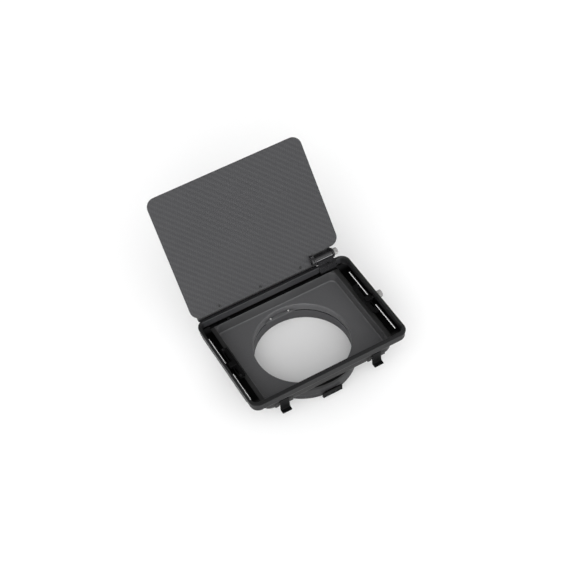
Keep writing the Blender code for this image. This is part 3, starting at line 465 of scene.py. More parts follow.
class Paint(Nodes):
    """A material under construction, with its Principled shader."""

    def __init__(self, name):
        self.material = bpy.data.materials.new(name + "_finish")
        self.material.use_nodes = True
        super().__init__(self.material.node_tree)
        self.shader = self.tree.nodes["Principled BSDF"]

    def set(self, **values):
        """Set the shader's sockets, whose names are written with underscores."""
        for key, value in values.items():
            self.feed(self.shader.inputs[key.replace("_", " ")], value)

    def link_into(self, name):
        """The wire that reaches one of the shader's sockets."""
        return Wire(self, self.shader.inputs[name].links[0].from_socket)

    def place(self):
        """The point on the surface, in the piece's own coordinates."""
        return self.node("ShaderNodeTexCoord", output="Object")

    def split(self, vector):
        """The three parts of a vector."""
        first = self.node("ShaderNodeSeparateXYZ", inputs={0: vector})
        return [Wire(self, output) for output in first.socket.node.outputs]

    def joined(self, x, y, z):
        """A vector from three values."""
        return self.node("ShaderNodeCombineXYZ", inputs={0: x, 1: y, 2: z})

    def noise(self, vector, scale, detail=2.0, roughness=0.5):
        """Noise from 0 to 1 with a number of features to the metre."""
        inputs = {"Vector": vector, "Scale": scale, "Detail": detail, "Roughness": roughness}
        return self.node("ShaderNodeTexNoise", inputs=inputs)

    def blend(self, share, low, high):
        """A colour between two, at a share from 0 to 1."""
        settings = {"data_type": "RGBA", "clamp_factor": True}
        return self.node("ShaderNodeMix", settings, {0: share, 6: low, 7: high}, 2)

    def bump(self, height, depth):
        """A surface normal from a height of 0 to 1 and its real depth."""
        inputs = {"Strength": 1.0, "Distance": depth, "Height": height}
        return self.node("ShaderNodeBump", inputs=inputs)


def tinted(colour, factor):
    """A colour made lighter or darker."""
    return tuple(min(1.0, part * factor) for part in colour)


# Colours that no setting holds, from the deepest black up
SHADOW_BLACK = (0.002, 0.002, 0.002)
PLASTIC_BLACK = (0.0025, 0.0025, 0.0027)
# Painted shade in the hood's channel
CHANNEL_SHADE_BLACK = (0.003, 0.003, 0.003)
OXIDE_BLACK = (0.006, 0.006, 0.0065)
FOAM_BLACK = (0.008, 0.008, 0.008)
# Painted shade in knurl grooves and on shanks
STEEL_SHADE_BLACK = (0.012, 0.012, 0.012)
# Painted shade on the outside of the stage casting
CASTING_SHADE_BLACK = (0.014, 0.014, 0.014)
RUBBER_BLACK = (0.016, 0.016, 0.017)
GRIP_GREY = (0.050, 0.050, 0.052)
# Painted highlight on the hinge barrel
BARREL_HIGHLIGHT_GREY = (0.14, 0.14, 0.145)
PALE = (0.92, 0.92, 0.92)
PALEST = (0.94, 0.94, 0.94)


def distance(across, along):
    """How far the surface is from an axis, from its two offsets."""
    return (across * across + along * along).math("SQRT")


def grained(name, colour, roughness, pitch, depth, contrast=0.18):
    """A surface with a fine grain and faint clouds, as moulded or blasted ones have."""
    paint = Paint(name)
    place = paint.place()
    grain = paint.noise(place, 1 / pitch, 3.0, 0.6)
    cloud = paint.noise(place, 45.0, 2.0)
    speck = paint.noise(place, 600.0, 2.0)
    share = grain * 0.3 + cloud * 0.35 + speck * 0.7 - 0.175
    dark = tinted(colour, 1 - contrast)
    light = tinted(colour, 1 + contrast)
    paint.set(
        Base_Color=paint.blend(share, dark, light),
        Roughness=roughness - 0.08 + grain * 0.10 + cloud * 0.06,
        Normal=paint.bump(grain, depth),
    )
    return paint


def hood_moulding():
    """Matt black plastic, with painted shade in its channel and painted light on its top inner
    wall.
    """
    moulded = hood_settings().hood_colour
    paint = grained("hood_moulding", moulded, 0.48, 0.45 * MM, 0.05 * MM)
    x, y, z = paint.split(paint.place())
    # Painted shade: the channel round the stage is painted dead black and made metallic, so it
    # shows no sheen where shade falls.
    end_y, end_fade = 49 * MM, 5 * MM
    top_z, top_fade = HOOD_FLOOR_Z + 1.2 * MM, 1.0 * MM
    across = abs(x) < MOUTH_HALF_WIDTH + 0.05 * MM
    along = ((end_y - abs(y)) / end_fade).clamped()
    depth = (top_z - z) / top_fade
    above = y > MOUTH_HIGH_Y - 1.2 * MM
    along = along.math("MAXIMUM", above)
    shaded_channel = across * along * depth.clamped()
    # Painted light: a thin band on the top inner wall is made lighter, as if the front light fell
    # on it.
    painted_light_wall = abs(y - MOUTH_HIGH_Y - 0.1 * MM) < 0.4 * MM
    usual = paint.blend(painted_light_wall, paint.link_into("Base Color"), tinted(moulded, 3.5))
    paint.set(
        Base_Color=paint.blend(shaded_channel, usual, CHANNEL_SHADE_BLACK),
        Metallic=shaded_channel,
        Specular_IOR_Level=0.3,
    )
    return paint


def grip_strip():
    """Dark grey knurled strip."""
    return grained("grip_strip", GRIP_GREY, 0.55, 0.6 * MM, 0.03 * MM)


def stage_casting():
    """Blasted aluminium, with painted shade outside and on the tray's walls, and a dead black
    painted shadow on the rim above the tray.
    """
    paint = grained(
        "stage_casting", hood_settings().stage_colour, 0.55, 0.28 * MM, 0.035 * MM, 0.12,
    )
    x, y, z = paint.split(paint.place())
    # Painted shade: outside the tray the casting is near black, the tray's walls are partway dark,
    # and only its floor keeps the stage colour.
    slack = 0.4 * MM
    wall_share = 0.45
    across = abs(x) < TRAY_HALF_WIDTH + slack
    middle = (TRAY_LOW_Y + TRAY_HIGH_Y) / 2
    along = abs(y - middle) < (TRAY_HIGH_Y - TRAY_LOW_Y) / 2 + slack
    floor = z < STAGE_FLOOR_Z + 1.0 * MM
    bore = distance(x, y) < BORE_RADIUS + 1.0 * MM
    front = (z > STAGE_FLOOR_Z - 1.0 * MM).math("MAXIMUM", bore)
    inside = across * along * front
    share = inside * (wall_share + (1 - wall_share) * floor)
    usual = paint.link_into("Base Color")
    # Painted shadow: the rim above the tray is dead black with no sheen.
    above = y > TRAY_HIGH_Y + 0.3 * MM
    rim = (1.0 - inside) * above * (z > STAGE_RIM_Z - 0.6 * MM)
    outer = paint.blend(rim, CASTING_SHADE_BLACK, SHADOW_BLACK)
    paint.set(
        Base_Color=paint.blend(share, outer, usual),
        Metallic=rim,
        Specular_IOR_Level=0.3,
    )
    return paint


def ring_black():
    """Black anodised aluminium with turning marks, lighter in the bore, with a painted shadow in
    front.
    """
    paint = Paint("ring_black")
    place = paint.place()
    x, y, z = paint.split(place)
    marks_per_metre = 5200.0
    shade_depth, shade_fade = 3.6 * MM, 1.2 * MM
    radius = distance(x, y)
    turning = paint.joined(radius * marks_per_metre, z * marks_per_metre, 0.0)
    marks = paint.noise(turning, 1.0, 1.0)
    cloud = paint.noise(place, 40.0)
    black = metal_settings().black_colour
    usual = paint.blend(marks * 0.6 + cloud * 0.4, tinted(black, 0.7), tinted(black, 1.3))
    bore = radius < SLEEVE_INNER + 0.5 * MM
    # Painted shadow: near the housing's front face the ring is painted near black.
    shade = ((z - HOUSING_FRONT_Z + shade_depth) / shade_fade).clamped()
    lined = paint.blend(bore, usual, tinted(black, 3.2))
    paint.set(
        Base_Color=paint.blend(shade, lined, tinted(black, 0.12)),
        Roughness=0.40 + marks * 0.14,
        Normal=paint.bump(marks, 0.012 * MM),
        Specular_IOR_Level=0.3,
    )
    return paint


def soft_seal():
    """Black foam."""
    return grained("soft_seal", FOAM_BLACK, 0.95, 0.35 * MM, 0.12 * MM)


def bumper_rubber():
    """Black rubber."""
    return grained("bumper_rubber", RUBBER_BLACK, 0.72, 0.5 * MM, 0.03 * MM)


def black_plastic():
    """Dull black moulded plastic."""
    paint = grained("black_plastic", PLASTIC_BLACK, 0.45, 0.35 * MM, 0.02 * MM)
    paint.set(Specular_IOR_Level=0.08)
    return paint


def black_metal():
    """Satin black anodised metal, with a painted highlight on the front of the hinge barrel."""
    paint = grained("black_metal", metal_settings().black_colour, 0.27, 0.22 * MM, 0.012 * MM)
    y, z = paint.split(paint.place())[1:]
    across = HINGE.y - y
    along = z - HINGE.z
    reach = distance(across, along)
    barrel = (reach < BARREL_RADIUS + 0.1 * MM) * (reach > BARREL_RADIUS - 0.15 * MM)
    # Painted highlight: a light strip on the barrel's front, between its two grooves.
    painted_highlight = barrel * (across > 2.8 * MM) * (along > 0.4 * MM)
    usual = paint.link_into("Base Color")
    paint.set(Base_Color=paint.blend(painted_highlight, usual, BARREL_HIGHLIGHT_GREY), Specular_IOR_Level=0.4)
    return paint


def dark_screw():
    """Black oxide on steel."""
    paint = grained("dark_screw", OXIDE_BLACK, 0.40, 0.3 * MM, 0.008 * MM)
    paint.set(Specular_IOR_Level=0.3)
    return paint


def bright_steel():
    """Bright turned steel with faint marks, with painted shade in the knurls' grooves and on the
    shanks.
    """
    steel = metal_settings().steel_colour
    paint = grained("bright_steel", steel, 0.30, 0.3 * MM, 0.006 * MM, 0.08)
    y, z = paint.split(paint.place())[1:]
    # Painted shade: the knurls' grooves and the shanks are darkened, as shade would darken grooves
    # and threads.
    dark = 0.0
    for radius, centre_y, centre_z in (
        (LOCK_KNURL_RADIUS, LOCK_SCREW_Y, LOCK_SCREW_Z), (TENSION_KNURL_RADIUS, *HINGE.yz),
    ):
        reach = distance(y - centre_y, z - centre_z)
        groove = ((radius - reach) / (0.26 * MM)).clamped()
        shank = reach < 1.5 * MM
        rim = reach > radius - 0.5 * MM
        dark = dark + groove * (rim + shank)
    usual = paint.link_into("Base Color")
    paint.set(Base_Color=paint.blend(dark, usual, STEEL_SHADE_BLACK), Metallic=0.65)
    return paint


def carbon_sheet():
    """Matt carbon fibre in a two-by-two twill, laid square to the flag."""
    settings = flag_settings()
    paint = Paint("carbon_sheet")
    place = paint.place()
    x, y, z = paint.split(place)
    up = (y - HINGE.y) * math.cos(FLAG_ANGLE) + (z - HINGE.z) * math.sin(FLAG_ANGLE)
    across = x / settings.tow_width
    along = up / settings.tow_width
    phase = (across.floor() + along.floor()) % 4.0
    warp = phase < 2.0
    weft = 1.0 - warp
    width_hump = across.fraction().hump() * warp + along.fraction().hump() * weft
    float_share = (phase + along.fraction()) * warp + (phase - 2.0 + across.fraction()) * weft
    float_hump = (float_share / 2.0).hump()
    relief = width_hump * 0.65 + float_hump * 0.35
    upward = paint.noise(paint.joined(x * 6500.0, up * 260.0, 0.0), 1.0, 2.0)
    sideways = paint.noise(paint.joined(x * 260.0, up * 6500.0, 7.0), 1.0, 2.0)
    fibre = upward * warp + sideways * weft
    cloud = paint.noise(place, 18.0, 1.0)
    speck = paint.noise(place, 650.0, 2.0)
    share = warp * 0.42 + relief * 0.34 + (fibre - 0.5) * 0.6 + (cloud - 0.5) * 0.35
    share = share + (speck - 0.5) * 0.9
    paint.set(
        Base_Color=paint.blend(share, settings.dark_tow, settings.light_tow),
        Roughness=0.50 - relief * 0.06 + fibre * 0.08,
        Normal=paint.bump(relief + fibre * 0.15, 0.05 * MM),
        Specular_IOR_Level=0.25,
    )
    return paint


FINISHES = (
    hood_moulding, grip_strip, stage_casting, ring_black, soft_seal, bumper_rubber,
    black_plastic, black_metal, dark_screw, bright_steel, carbon_sheet,
)


def finish_named(slot):
    """The material of a slot, made when it is first asked for."""
    found = bpy.data.materials.get(slot + "_finish")
    if found:
        return found
    for finish in FINISHES:
        if finish.__name__ == slot:
            return finish().material
    raise RuntimeError("there is no finish named " + slot)


def slot_of(node):
    """The material slot that the record gives a node."""
    for row in frame["record"]["subparts"]:
        if row["node"] == node:
            return row["material_slot"]
    raise RuntimeError("the record has no node named " + node)


def solid(points, faces):
    """An object from points and faces, its normals outward."""
    mesh = bpy.data.meshes.new("shape")
    mesh.from_pydata(points, [], faces)
    bm = bmesh.new()
    bm.from_mesh(mesh)
    bmesh.ops.remove_doubles(bm, verts=bm.verts, dist=0.0005 * MM)
    bmesh.ops.recalc_face_normals(bm, faces=bm.faces)
    bm.to_mesh(mesh)
    bm.free()
    item = bpy.data.objects.new("shape", mesh)
    bpy.context.scene.collection.objects.link(item)
    return item


def skin(loops, place=UP, ring=False):
    """A solid through loops of points, capped at both ends or joined in a ring."""
    count = len(loops[0])
    points = [place @ point for loop in loops for point in loop]
    faces = []
    for level in range(len(loops) if ring else len(loops) - 1):
        below = level * count
        above = (level + 1) % len(loops) * count
        for step in range(count):
            after = (step + 1) % count
            faces.append((below + step, below + after, above + after, above + step))
    if not ring:
        faces.append(tuple(range(count)))
        faces.append(tuple(range((len(loops) - 1) * count, len(loops) * count)))
    return solid(points, faces)


def circle(radius, height, steps, sides=0):
    """A loop round Z: a circle, or a regular polygon that the circle would just fit in."""
    loop = []
    for step in range(steps):
        angle = 2 * math.pi * step / steps
        reach = radius
        if sides:
            side = 2 * math.pi / sides
            reach = radius / math.cos(angle % side - side / 2)
        loop.append(Vector((reach * math.cos(angle), reach * math.sin(angle), height)))
    return loop


def eased(outline, radii, steps=4):
    """An outline with its corners rounded, by one radius or by one for each corner."""
    points = [Vector(point) for point in outline]
    if not hasattr(radii, "__len__"):
        radii = [radii] * len(points)
    rounded = []
    for index, (corner, radius) in enumerate(zip(points, radii)):
        if radius <= 0:
            rounded.append(corner)
            continue
        back = (points[index - 1] - corner).normalized()
        ahead = (points[(index + 1) % len(points)] - corner).normalized()
        half = math.acos(max(-1.0, min(1.0, back.dot(ahead)))) / 2
        reach = radius / math.tan(half)
        centre = corner + (back + ahead).normalized() * (radius / math.sin(half))
        start = corner + back * reach - centre
        end = corner + ahead * reach - centre
        sweep = math.pi - 2 * half
        for step in range(steps + 1):
            share = step / steps
            first = math.sin((1 - share) * sweep) / math.sin(sweep)
            second = math.sin(share * sweep) / math.sin(sweep)
            rounded.append(centre + start * first + end * second)
    return rounded


def rectangle(low, high):
    """The corners of a rectangle, in turn."""
    return [(low[0], low[1]), (high[0], low[1]), (high[0], high[1]), (low[0], high[1])]


def sided(side, *edges):
    """Distances from the middle plane, on one side of it, lowest first."""
    return sorted(side * edge for edge in edges)


def inset(outline, amount):
    """An outline, given anticlockwise, moved inwards by an even amount."""
    moved = []
    for index, corner in enumerate(outline):
        before = (corner - outline[index - 1]).normalized()
        after = (outline[(index + 1) % len(outline)] - corner).normalized()
        first = Vector((-before.y, before.x))
        second = Vector((-after.y, after.x))
        moved.append(corner + (first + second) * (amount / (1 + first.dot(second))))
    return moved


def rounded_rims(low, high, low_edge, high_edge, steps):
    """How far in, and how high, each loop of a prism with two rounded rims lies."""
    rims = []
    for height, edge, way in ((low, low_edge, 1), (high, high_edge, -1)):
        turns = [math.pi / 2]
        if edge:
            turns = [math.pi / 2 * step / steps for step in range(steps + 1)][::way]
        for turn in turns:
            rims.append((edge * (1 - math.sin(turn)), height + way * edge * (1 - math.cos(turn))))
    return rims


def stacked(outline, rims, place=UP):
    """A solid whose loops are one outline, moved in or out, at each height."""
    points = [Vector(point) for point in outline]
    area = sum(a.cross(b) for a, b in zip(points, points[1:] + points[:1]))
    if area < 0:
        points.reverse()
    loops = []
    for amount, height in rims:
        loops.append([Vector((*point, height)) for point in inset(points, amount)])
    return skin(loops, place)


def prism(outline, low, high, place=UP, low_edge=0.0, high_edge=0.0, steps=3):
    """An outline pulled along Z, with its two rims rounded."""
    return stacked(outline, rounded_rims(low, high, low_edge, high_edge, steps), place)


def hollow(low, high, corner, floor_edge, flare):
    """A cutter for a pocket with a rounded floor and a chamfered mouth, open at the top."""
    rims = rounded_rims(low[2], high[2] - flare, floor_edge, 0, 4)
    rims += [(-flare, high[2]), (-flare, high[2] + WELL_PAST)]
    return stacked(eased(rectangle(low, high), corner, 10), rims)


def slab(low, high, corner=0.0, steps=4, place=UP, low_edge=0.0, high_edge=0.0, edge_steps=3):
    """A box between two corners, rounded along Z and at its two rims."""
    outline = eased(rectangle(low, high), corner, steps)
    return prism(outline, low[2], high[2], place, low_edge, high_edge, edge_steps)


def turned(outline, steps=None, place=UP, ring=False):
    """A turned solid from (radius, height) points."""
    steps = steps or metal_settings().ring_steps
    return skin([circle(radius, height, steps) for radius, height in outline], place, ring)


def rod(radius, low, high, place=UP, steps=24, edge=0.0):
    """A round bar along Z with eased ends."""
    outline = [(radius, low), (radius, high)]
    if edge:
        outline = [
            (radius - edge, low), (radius - edge * 0.3, low + edge * 0.3), (radius, low + edge),
            (radius, high - edge), (radius - edge * 0.3, high - edge * 0.3), (radius - edge, high),
        ]
    return turned(outline, steps, place)


def tube(points, radius, steps=10):
    """A round wire through points."""
    loops = []
    side = Vector((1, 0, 0))
    for index, point in enumerate(points):
        before = points[max(index - 1, 0)]
        after = points[min(index + 1, len(points) - 1)]
        way = (after - before).normalized()
        side = (side - way * side.dot(way)).normalized()
        other = way.cross(side)
        loops.append([
            point + side * spot.x + other * spot.y for spot in circle(radius, 0, steps)
        ])
    return skin(loops)


def applied(item):
    """Turn an object's modifiers into its mesh."""
    graph = bpy.context.evaluated_depsgraph_get()
    mesh = bpy.data.meshes.new_from_object(item.evaluated_get(graph))
    item.modifiers.clear()
    item.data = mesh
    return item


def combined(base, operation, others):
    """Join shapes to a solid or cut them from it, and remove them."""
    for other in others:
        step = base.modifiers.new("step", "BOOLEAN")
        step.operation = operation
        step.solver = "EXACT"
        step.object = other
    applied(base)
    for other in others:
        bpy.data.objects.remove(other)
    return base


def fuse(base, *others):
    """Add shapes to a solid."""
    return combined(base, "UNION", others)


def carve(base, *others):
    """Take shapes away from a solid."""
    return combined(base, "DIFFERENCE", others)


def dress(item, node, angle=32):
    """Let a piece stand for a CAD node: its name, body, slot, finish and shading."""
    item.name = node + "_detail"
    item.data.name = item.name
    item.data.shade_smooth()
    item.data.set_sharp_from_angle(angle=math.radians(angle))
    weights = item.modifiers.new("weights", "WEIGHTED_NORMAL")
    weights.keep_sharp = True
    applied(item)
    slot = slot_of(node)
    item.data.materials.clear()
    item.data.materials.append(finish_named(slot))
    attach(item, frame["nodes"][node]["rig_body"])
    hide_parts(node)
    return item


class PieceOperator(bpy.types.Operator):
    """What the operators of this panel share."""

    bl_options = {"REGISTER", "UNDO"}


class MATTEBOX_OT_hood(PieceOperator):
    """Build the hood with its lip, strap slots and channel floor"""

    bl_idname = "mattebox.hood"
    bl_label = "Hood"

    def execute(self, context):
        settings = hood_settings()
        low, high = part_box("hood_frame")
        inner = LIP_OVERHANG
        hood = slab(
            (low.x + inner, low.y + inner, low.z),
            (high.x - inner, high.y - inner, high.z - LIP_THICKNESS / 2),
            settings.corner - inner, 10, low_edge=HOOD_REAR_ROUNDING, edge_steps=6,
        )
        lip = slab(
            (low.x, low.y, high.z - LIP_THICKNESS), high, settings.corner, 12,
            low_edge=LIP_REAR_EDGE, high_edge=settings.lip_edge,
        )
        fuse(hood, lip)
        mouth = hollow(
            (-MOUTH_HALF_WIDTH, MOUTH_LOW_Y, HOOD_FLOOR_Z),
            (MOUTH_HALF_WIDTH, MOUTH_HIGH_Y, high.z), MOUTH_CORNER, MOUTH_FLOOR_EDGE, MOUTH_FLARE,
        )
        half, opening_low, opening_high = FLOOR_OPENING
        opening = slab(
            (-half, opening_low, low.z - WELL_PAST), (half, opening_high, HOOD_FLOOR_Z + PAST),
            OPENING_CORNER, 6,
        )
        carve(hood, mouth, opening)
        carve(hood, *self.small_cuts(low, high))
        dress(hood, "hood_frame")
        return {"FINISHED"}

    def small_cuts(self, low, high):
        """Slots, screw holes and the notch for the hinge block."""
        cuts = []
        for side in (-1, 1):
            left, right = sided(side, *SLOT_EDGES[side])
            for start, end in SLOT_SPANS:
                cuts.append(slab(
                    (left, start, low.z - WELL_PAST), (right, end, HOOD_FLOOR_Z + PAST),
                    SLOT_CORNER, 6,
                ))
            for y in STAGE_SCREW_YS:
                place = at(side * STAGE_SCREW_X, y)
                cuts.append(rod(
                    SCREW_SINK_RADIUS, low.z - PAST, low.z + SCREW_SINK_DEPTH, place,
                ))
        cuts.append(slab(
            (BLOCK_SPAN_X[0] - GAP, MOUTH_HIGH_Y - PAST, HOOD_FLOOR_Z + GAP),
            (BLOCK_SPAN_X[1] + GAP, high.y + WELL_PAST, high.z + WELL_PAST),
        ))
        cuts.append(rod(
            LOCK_SHANK_RADIUS + GAP, MOUTH_HALF_WIDTH - 3 * PAST, high.x + 2 * PAST, LOCK_AXIS,
        ))
        rim_low, rim_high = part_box("rim_screw")
        centre = (rim_low + rim_high) / 2
        reach = (rim_high.x - rim_low.x) / 2 + GAP
        cuts.append(rod(reach, low.z - PAST, HOOD_FLOOR_Z + PAST, at(centre.x, centre.y)))
        return cuts


class MATTEBOX_OT_grips(PieceOperator):
    """Build the two knurled grip strips on the side walls"""

    bl_idname = "mattebox.grips"
    bl_label = "Side grips"

    def execute(self, context):
        for side, word in ((-1, "left"), (1, "right")):
            node = "side_grip_" + word
            low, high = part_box(node)
            strip = self.ribbed_strip(low, high, side)
            if side > 0:
                carve(strip, rod(
                    LOCK_SHANK_RADIUS + GAP, low.x - PAST, high.x + PAST, LOCK_AXIS,
                ))
            dress(strip, node, 25)
        return {"FINISHED"}

    def ribbed_strip(self, low, high, side):
        """A strip whose outer face carries rows of small pyramids."""
        pitch = hood_settings().grip_pitch
        rows = max(2, round((high.z - low.z) / pitch)) * 2
        columns = round((high.y - low.y) / pitch) * 2
        inner, outer = (low.x, high.x)[::side]
        points = []
        for row in range(rows + 1):
            for column in range(columns + 1):
                peak = row % 2 and column % 2
                rim = row in (0, rows) or column in (0, columns)
                sink = 0.0 if peak else GRIP_DEPTH
                points.append((
                    outer - side * (sink + (GRIP_RIM_SINK if rim else 0.0)),
                    low.y + (high.y - low.y) * column / columns,
                    low.z + (high.z - low.z) * row / rows,
                ))
        width = columns + 1
        faces = []
        for row in range(rows):
            for column in range(columns):
                first = row * width + column
                a, b, c, d = first, first + 1, first + width + 1, first + width
                if (row + column) % 2:
                    faces += [(a, b, d), (b, c, d)]
                else:
                    faces += [(a, b, c), (a, c, d)]
        rim_loop = list(range(width))
        rim_loop += [row * width + columns for row in range(1, rows + 1)]
        rim_loop += [rows * width + column for column in range(columns - 1, -1, -1)]
        rim_loop += [row * width for row in range(rows - 1, 0, -1)]
        start = len(points)
        for index in rim_loop:
            points.append((inner, points[index][1], points[index][2]))
        count = len(rim_loop)
        for step in range(count):
            after = (step + 1) % count
            faces.append((rim_loop[step], rim_loop[after], start + after, start + step))
        faces.append(tuple(range(start, start + count)))
        return solid(points, faces)


class MATTEBOX_OT_stage(PieceOperator):
    """Build the stage: rim flange, tray, bore spigot and latch ears"""

    bl_idname = "mattebox.stage_tray"
    bl_label = "Stage"

    def execute(self, context):
        stage = slab(
            (-STAGE_HALF_WIDTH, STAGE_LOW_Y, STAGE_REAR_Z),
            (STAGE_HALF_WIDTH, STAGE_HIGH_Y, STAGE_RIM_Z - PAST),
            STAGE_CORNER, 12, low_edge=STAGE_ROUNDING, edge_steps=7,
        )
        flange = slab(
            (-FLANGE_HALF_WIDTH, FLANGE_SPAN_Y[0], STAGE_RIM_Z - FLANGE_THICKNESS),
            (FLANGE_HALF_WIDTH, FLANGE_SPAN_Y[1], STAGE_RIM_Z), FLANGE_CORNER, 8,
            low_edge=FLANGE_EDGE, high_edge=FLANGE_EDGE, edge_steps=2,
        )
        spigot = turned([(SPIGOT_RADIUS, SPIGOT_END_Z), (SPIGOT_RADIUS, STAGE_REAR_Z + PAST)])
        fuse(stage, flange, spigot)
        tray = hollow(
            (-TRAY_HALF_WIDTH, TRAY_LOW_Y, STAGE_FLOOR_Z),
            (TRAY_HALF_WIDTH, TRAY_HIGH_Y, STAGE_RIM_Z), TRAY_CORNER, TRAY_FLOOR_EDGE, TRAY_FLARE,
        )
        bore = turned([
            (BORE_RADIUS + BORE_CHAMFER + 2 * PAST, STAGE_FLOOR_Z + 2 * PAST),
            (BORE_RADIUS, STAGE_FLOOR_Z - BORE_CHAMFER),
            (BORE_RADIUS, SPIGOT_END_Z - 2 * PAST),
        ])
        carve(stage, tray, bore)
        fuse(stage, self.ledge(SPIGOT_END_Z + 0.1 * MM, LEDGE_FRONT_Z, SPIGOT_RADIUS - 0.6 * MM))
        for side in (-1, 1):
            self.latch_seat(stage, side)
        holes = [
            rod(
                STAGE_SCREW_HOLE, STAGE_RIM_Z - 3 * PAST, STAGE_RIM_Z + PAST,
                at(side * STAGE_SCREW_X, y),
            )
            for side in (-1, 1) for y in STAGE_SCREW_YS
        ]
        carve(stage, *holes)
        dress(stage, "stage_body")
        plate_low, plate_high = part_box("bore_plate")
        plate = self.ledge(plate_low.z, plate_high.z, PLATE_RADIUS)
        dress(plate, "bore_plate")
        return {"FINISHED"}

    def ledge(self, low, high, radius):
        """The piece of a disc beyond the chord at the top of the bore."""
        start = math.asin(CHORD_Y / radius)
        reach = min(CHORD_HALF_WIDTH, radius * math.cos(start))
        first = math.acos(reach / radius)
        steps = 20
        outline = []
        for step in range(steps + 1):
            angle = first + (math.pi - 2 * first) * step / steps
            outline.append((radius * math.cos(angle), radius * math.sin(angle)))
        if reach == CHORD_HALF_WIDTH:
            outline = [(reach, CHORD_Y), *outline, (-reach, CHORD_Y)]
        return prism(outline, low, high, high_edge=0.12 * MM, steps=1)

    def latch_seat(self, stage, side):
        """Ears, pocket, window and pin hole for one latch."""
        middle = side * LATCH_X
        reach = LATCH_WIDTH / 2 + GAP
        ears = []
        for edge in (-1, 1):
            xs = sorted((middle + edge * reach, middle + edge * (reach + EAR_THICKNESS)))
            ears.append(prism(
                eased(rectangle(*EAR_OUTLINE), 1.4 * MM, 5), *xs, ALONG_X, 0.2 * MM, 0.2 * MM, 1,
            ))
        fuse(stage, *ears)
        outside_y, inside_y, below_z = -60 * MM, -40 * MM, 10 * MM
        pocket = slab(
            (middle - reach, outside_y, below_z), (middle + reach, POCKET_BACK_Y, POCKET_TOP_Z),
        )
        half = WINDOW_HALF_WIDTH
        window = slab(
            (middle - half, outside_y, WINDOW_SPAN_Z[0]),
            (middle + half, inside_y, WINDOW_SPAN_Z[1]),
        )
        pin_reach = reach + 1.5 * MM
        pin_hole = rod(LATCH_HOLE_RADIUS, middle - pin_reach, middle + pin_reach, LATCH_AXIS)
        carve(stage, pocket, window, pin_hole)


class MATTEBOX_OT_rings(PieceOperator):
    """Build the ring housing, the lock ring with its tab, the retaining ring and the seal"""

    bl_idname = "mattebox.rings"
    bl_label = "Rings"

    def execute(self, context):
        low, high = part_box("ring_housing")
        inner, step_z = SLEEVE_OUTER + GAP, SPIGOT_END_Z - GAP
        outline = [
            (high.x, high.z), (high.x, low.z), (inner, low.z), (inner, step_z),
            (SPIGOT_RADIUS + GAP, step_z), (SPIGOT_RADIUS + GAP, high.z),
        ]
        radii = [0.5 * MM, 1.0 * MM, 0.3 * MM, 0, 0, 0.3 * MM]
        housing = turned(eased(outline, radii, 3), ring=True)
        sinks = []
        for turn in map(math.radians, RING_SCREW_TURNS):
            place = at(RING_SCREW_RADIUS * math.cos(turn), RING_SCREW_RADIUS * math.sin(turn))
            sinks.append(rod(RING_SINK_RADIUS, low.z - PAST, low.z + RING_SINK_DEPTH, place))
        carve(housing, *sinks)
        dress(housing, "ring_housing")
        self.sleeve()
        self.lock_ring()
        self.tab()
        return {"FINISHED"}

    def sleeve(self):
        """The retaining ring with its spanner notches, and the seal in front of it."""
        low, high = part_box("retaining_ring")
        outline = [
            (SLEEVE_OUTER, high.z), (SLEEVE_OUTER, FLANGE_FRONT_Z), (high.x, FLANGE_FRONT_Z),
            (high.x, low.z), (SLEEVE_INNER, low.z), (SLEEVE_INNER, high.z),
        ]
        radii = [0.2 * MM, 0, 0.3 * MM, 0.5 * MM, 0.5 * MM, 0.2 * MM]
        ring = turned(eased(outline, radii, 3), ring=True)
        notches = []
        for side in (-1, 1):
            start, end = sided(side, *NOTCH_SPAN)
            notches.append(slab(
                (-NOTCH_HALF_WIDTH, start, -PAST), (NOTCH_HALF_WIDTH, end, NOTCH_DEPTH),
            ))
        carve(ring, *notches)
        dress(ring, "retaining_ring")
        low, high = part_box("light_seal")
        outline = rectangle((SEAL_INNER, low.z), (SLEEVE_OUTER, high.z))
        dress(turned(eased(outline, 0.25 * MM, 3), ring=True), "light_seal")

    def lock_ring(self):
        """The turning ring with the arm that carries the tab."""
        low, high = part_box("lock_ring")
        inner = SLEEVE_OUTER + GAP
        outer = LOCK_RING_OUTER
        outline = [(outer, high.z), (outer, low.z), (inner, low.z), (inner, high.z)]
        ring = turned(eased(outline, [0.3 * MM, 0.5 * MM, 0.2 * MM, 0.2 * MM], 3), ring=True)
        dress(fuse(ring, slab(*LOCK_ARM)), "lock_ring")

    def tab(self):
        """The release tab: a plate with a raised lip, and sinks for its screws."""
        low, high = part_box("release_tab")
        outline = [
            (low.y, low.z), (TAB_INNER_Y, low.z), (TAB_INNER_Y, TAB_STEP_Z),
            (TAB_LIP_Y, TAB_STEP_Z), (TAB_LIP_Y, high.z), (low.y, high.z),
        ]
        radii = [0.5 * MM, 0.3 * MM, 0.2 * MM, 0, 0.4 * MM, 0.5 * MM]
        tab = prism(eased(outline, radii, 4), low.x, high.x, ALONG_X, 0.4 * MM, 0.4 * MM, 3)
        cuts = []
        for x in (-TAB_SCREW_X, TAB_SCREW_X):
            place = at(x, 0, TAB_SCREW_Z, FORWARD)
            cuts.append(rod(0.9 * MM, 50 * MM, 56 * MM, place, 16))
            cuts.append(rod(1.5 * MM, 53.2 * MM, 56 * MM, place, 24))
        carve(tab, *cuts)
        dress(tab, "release_tab")


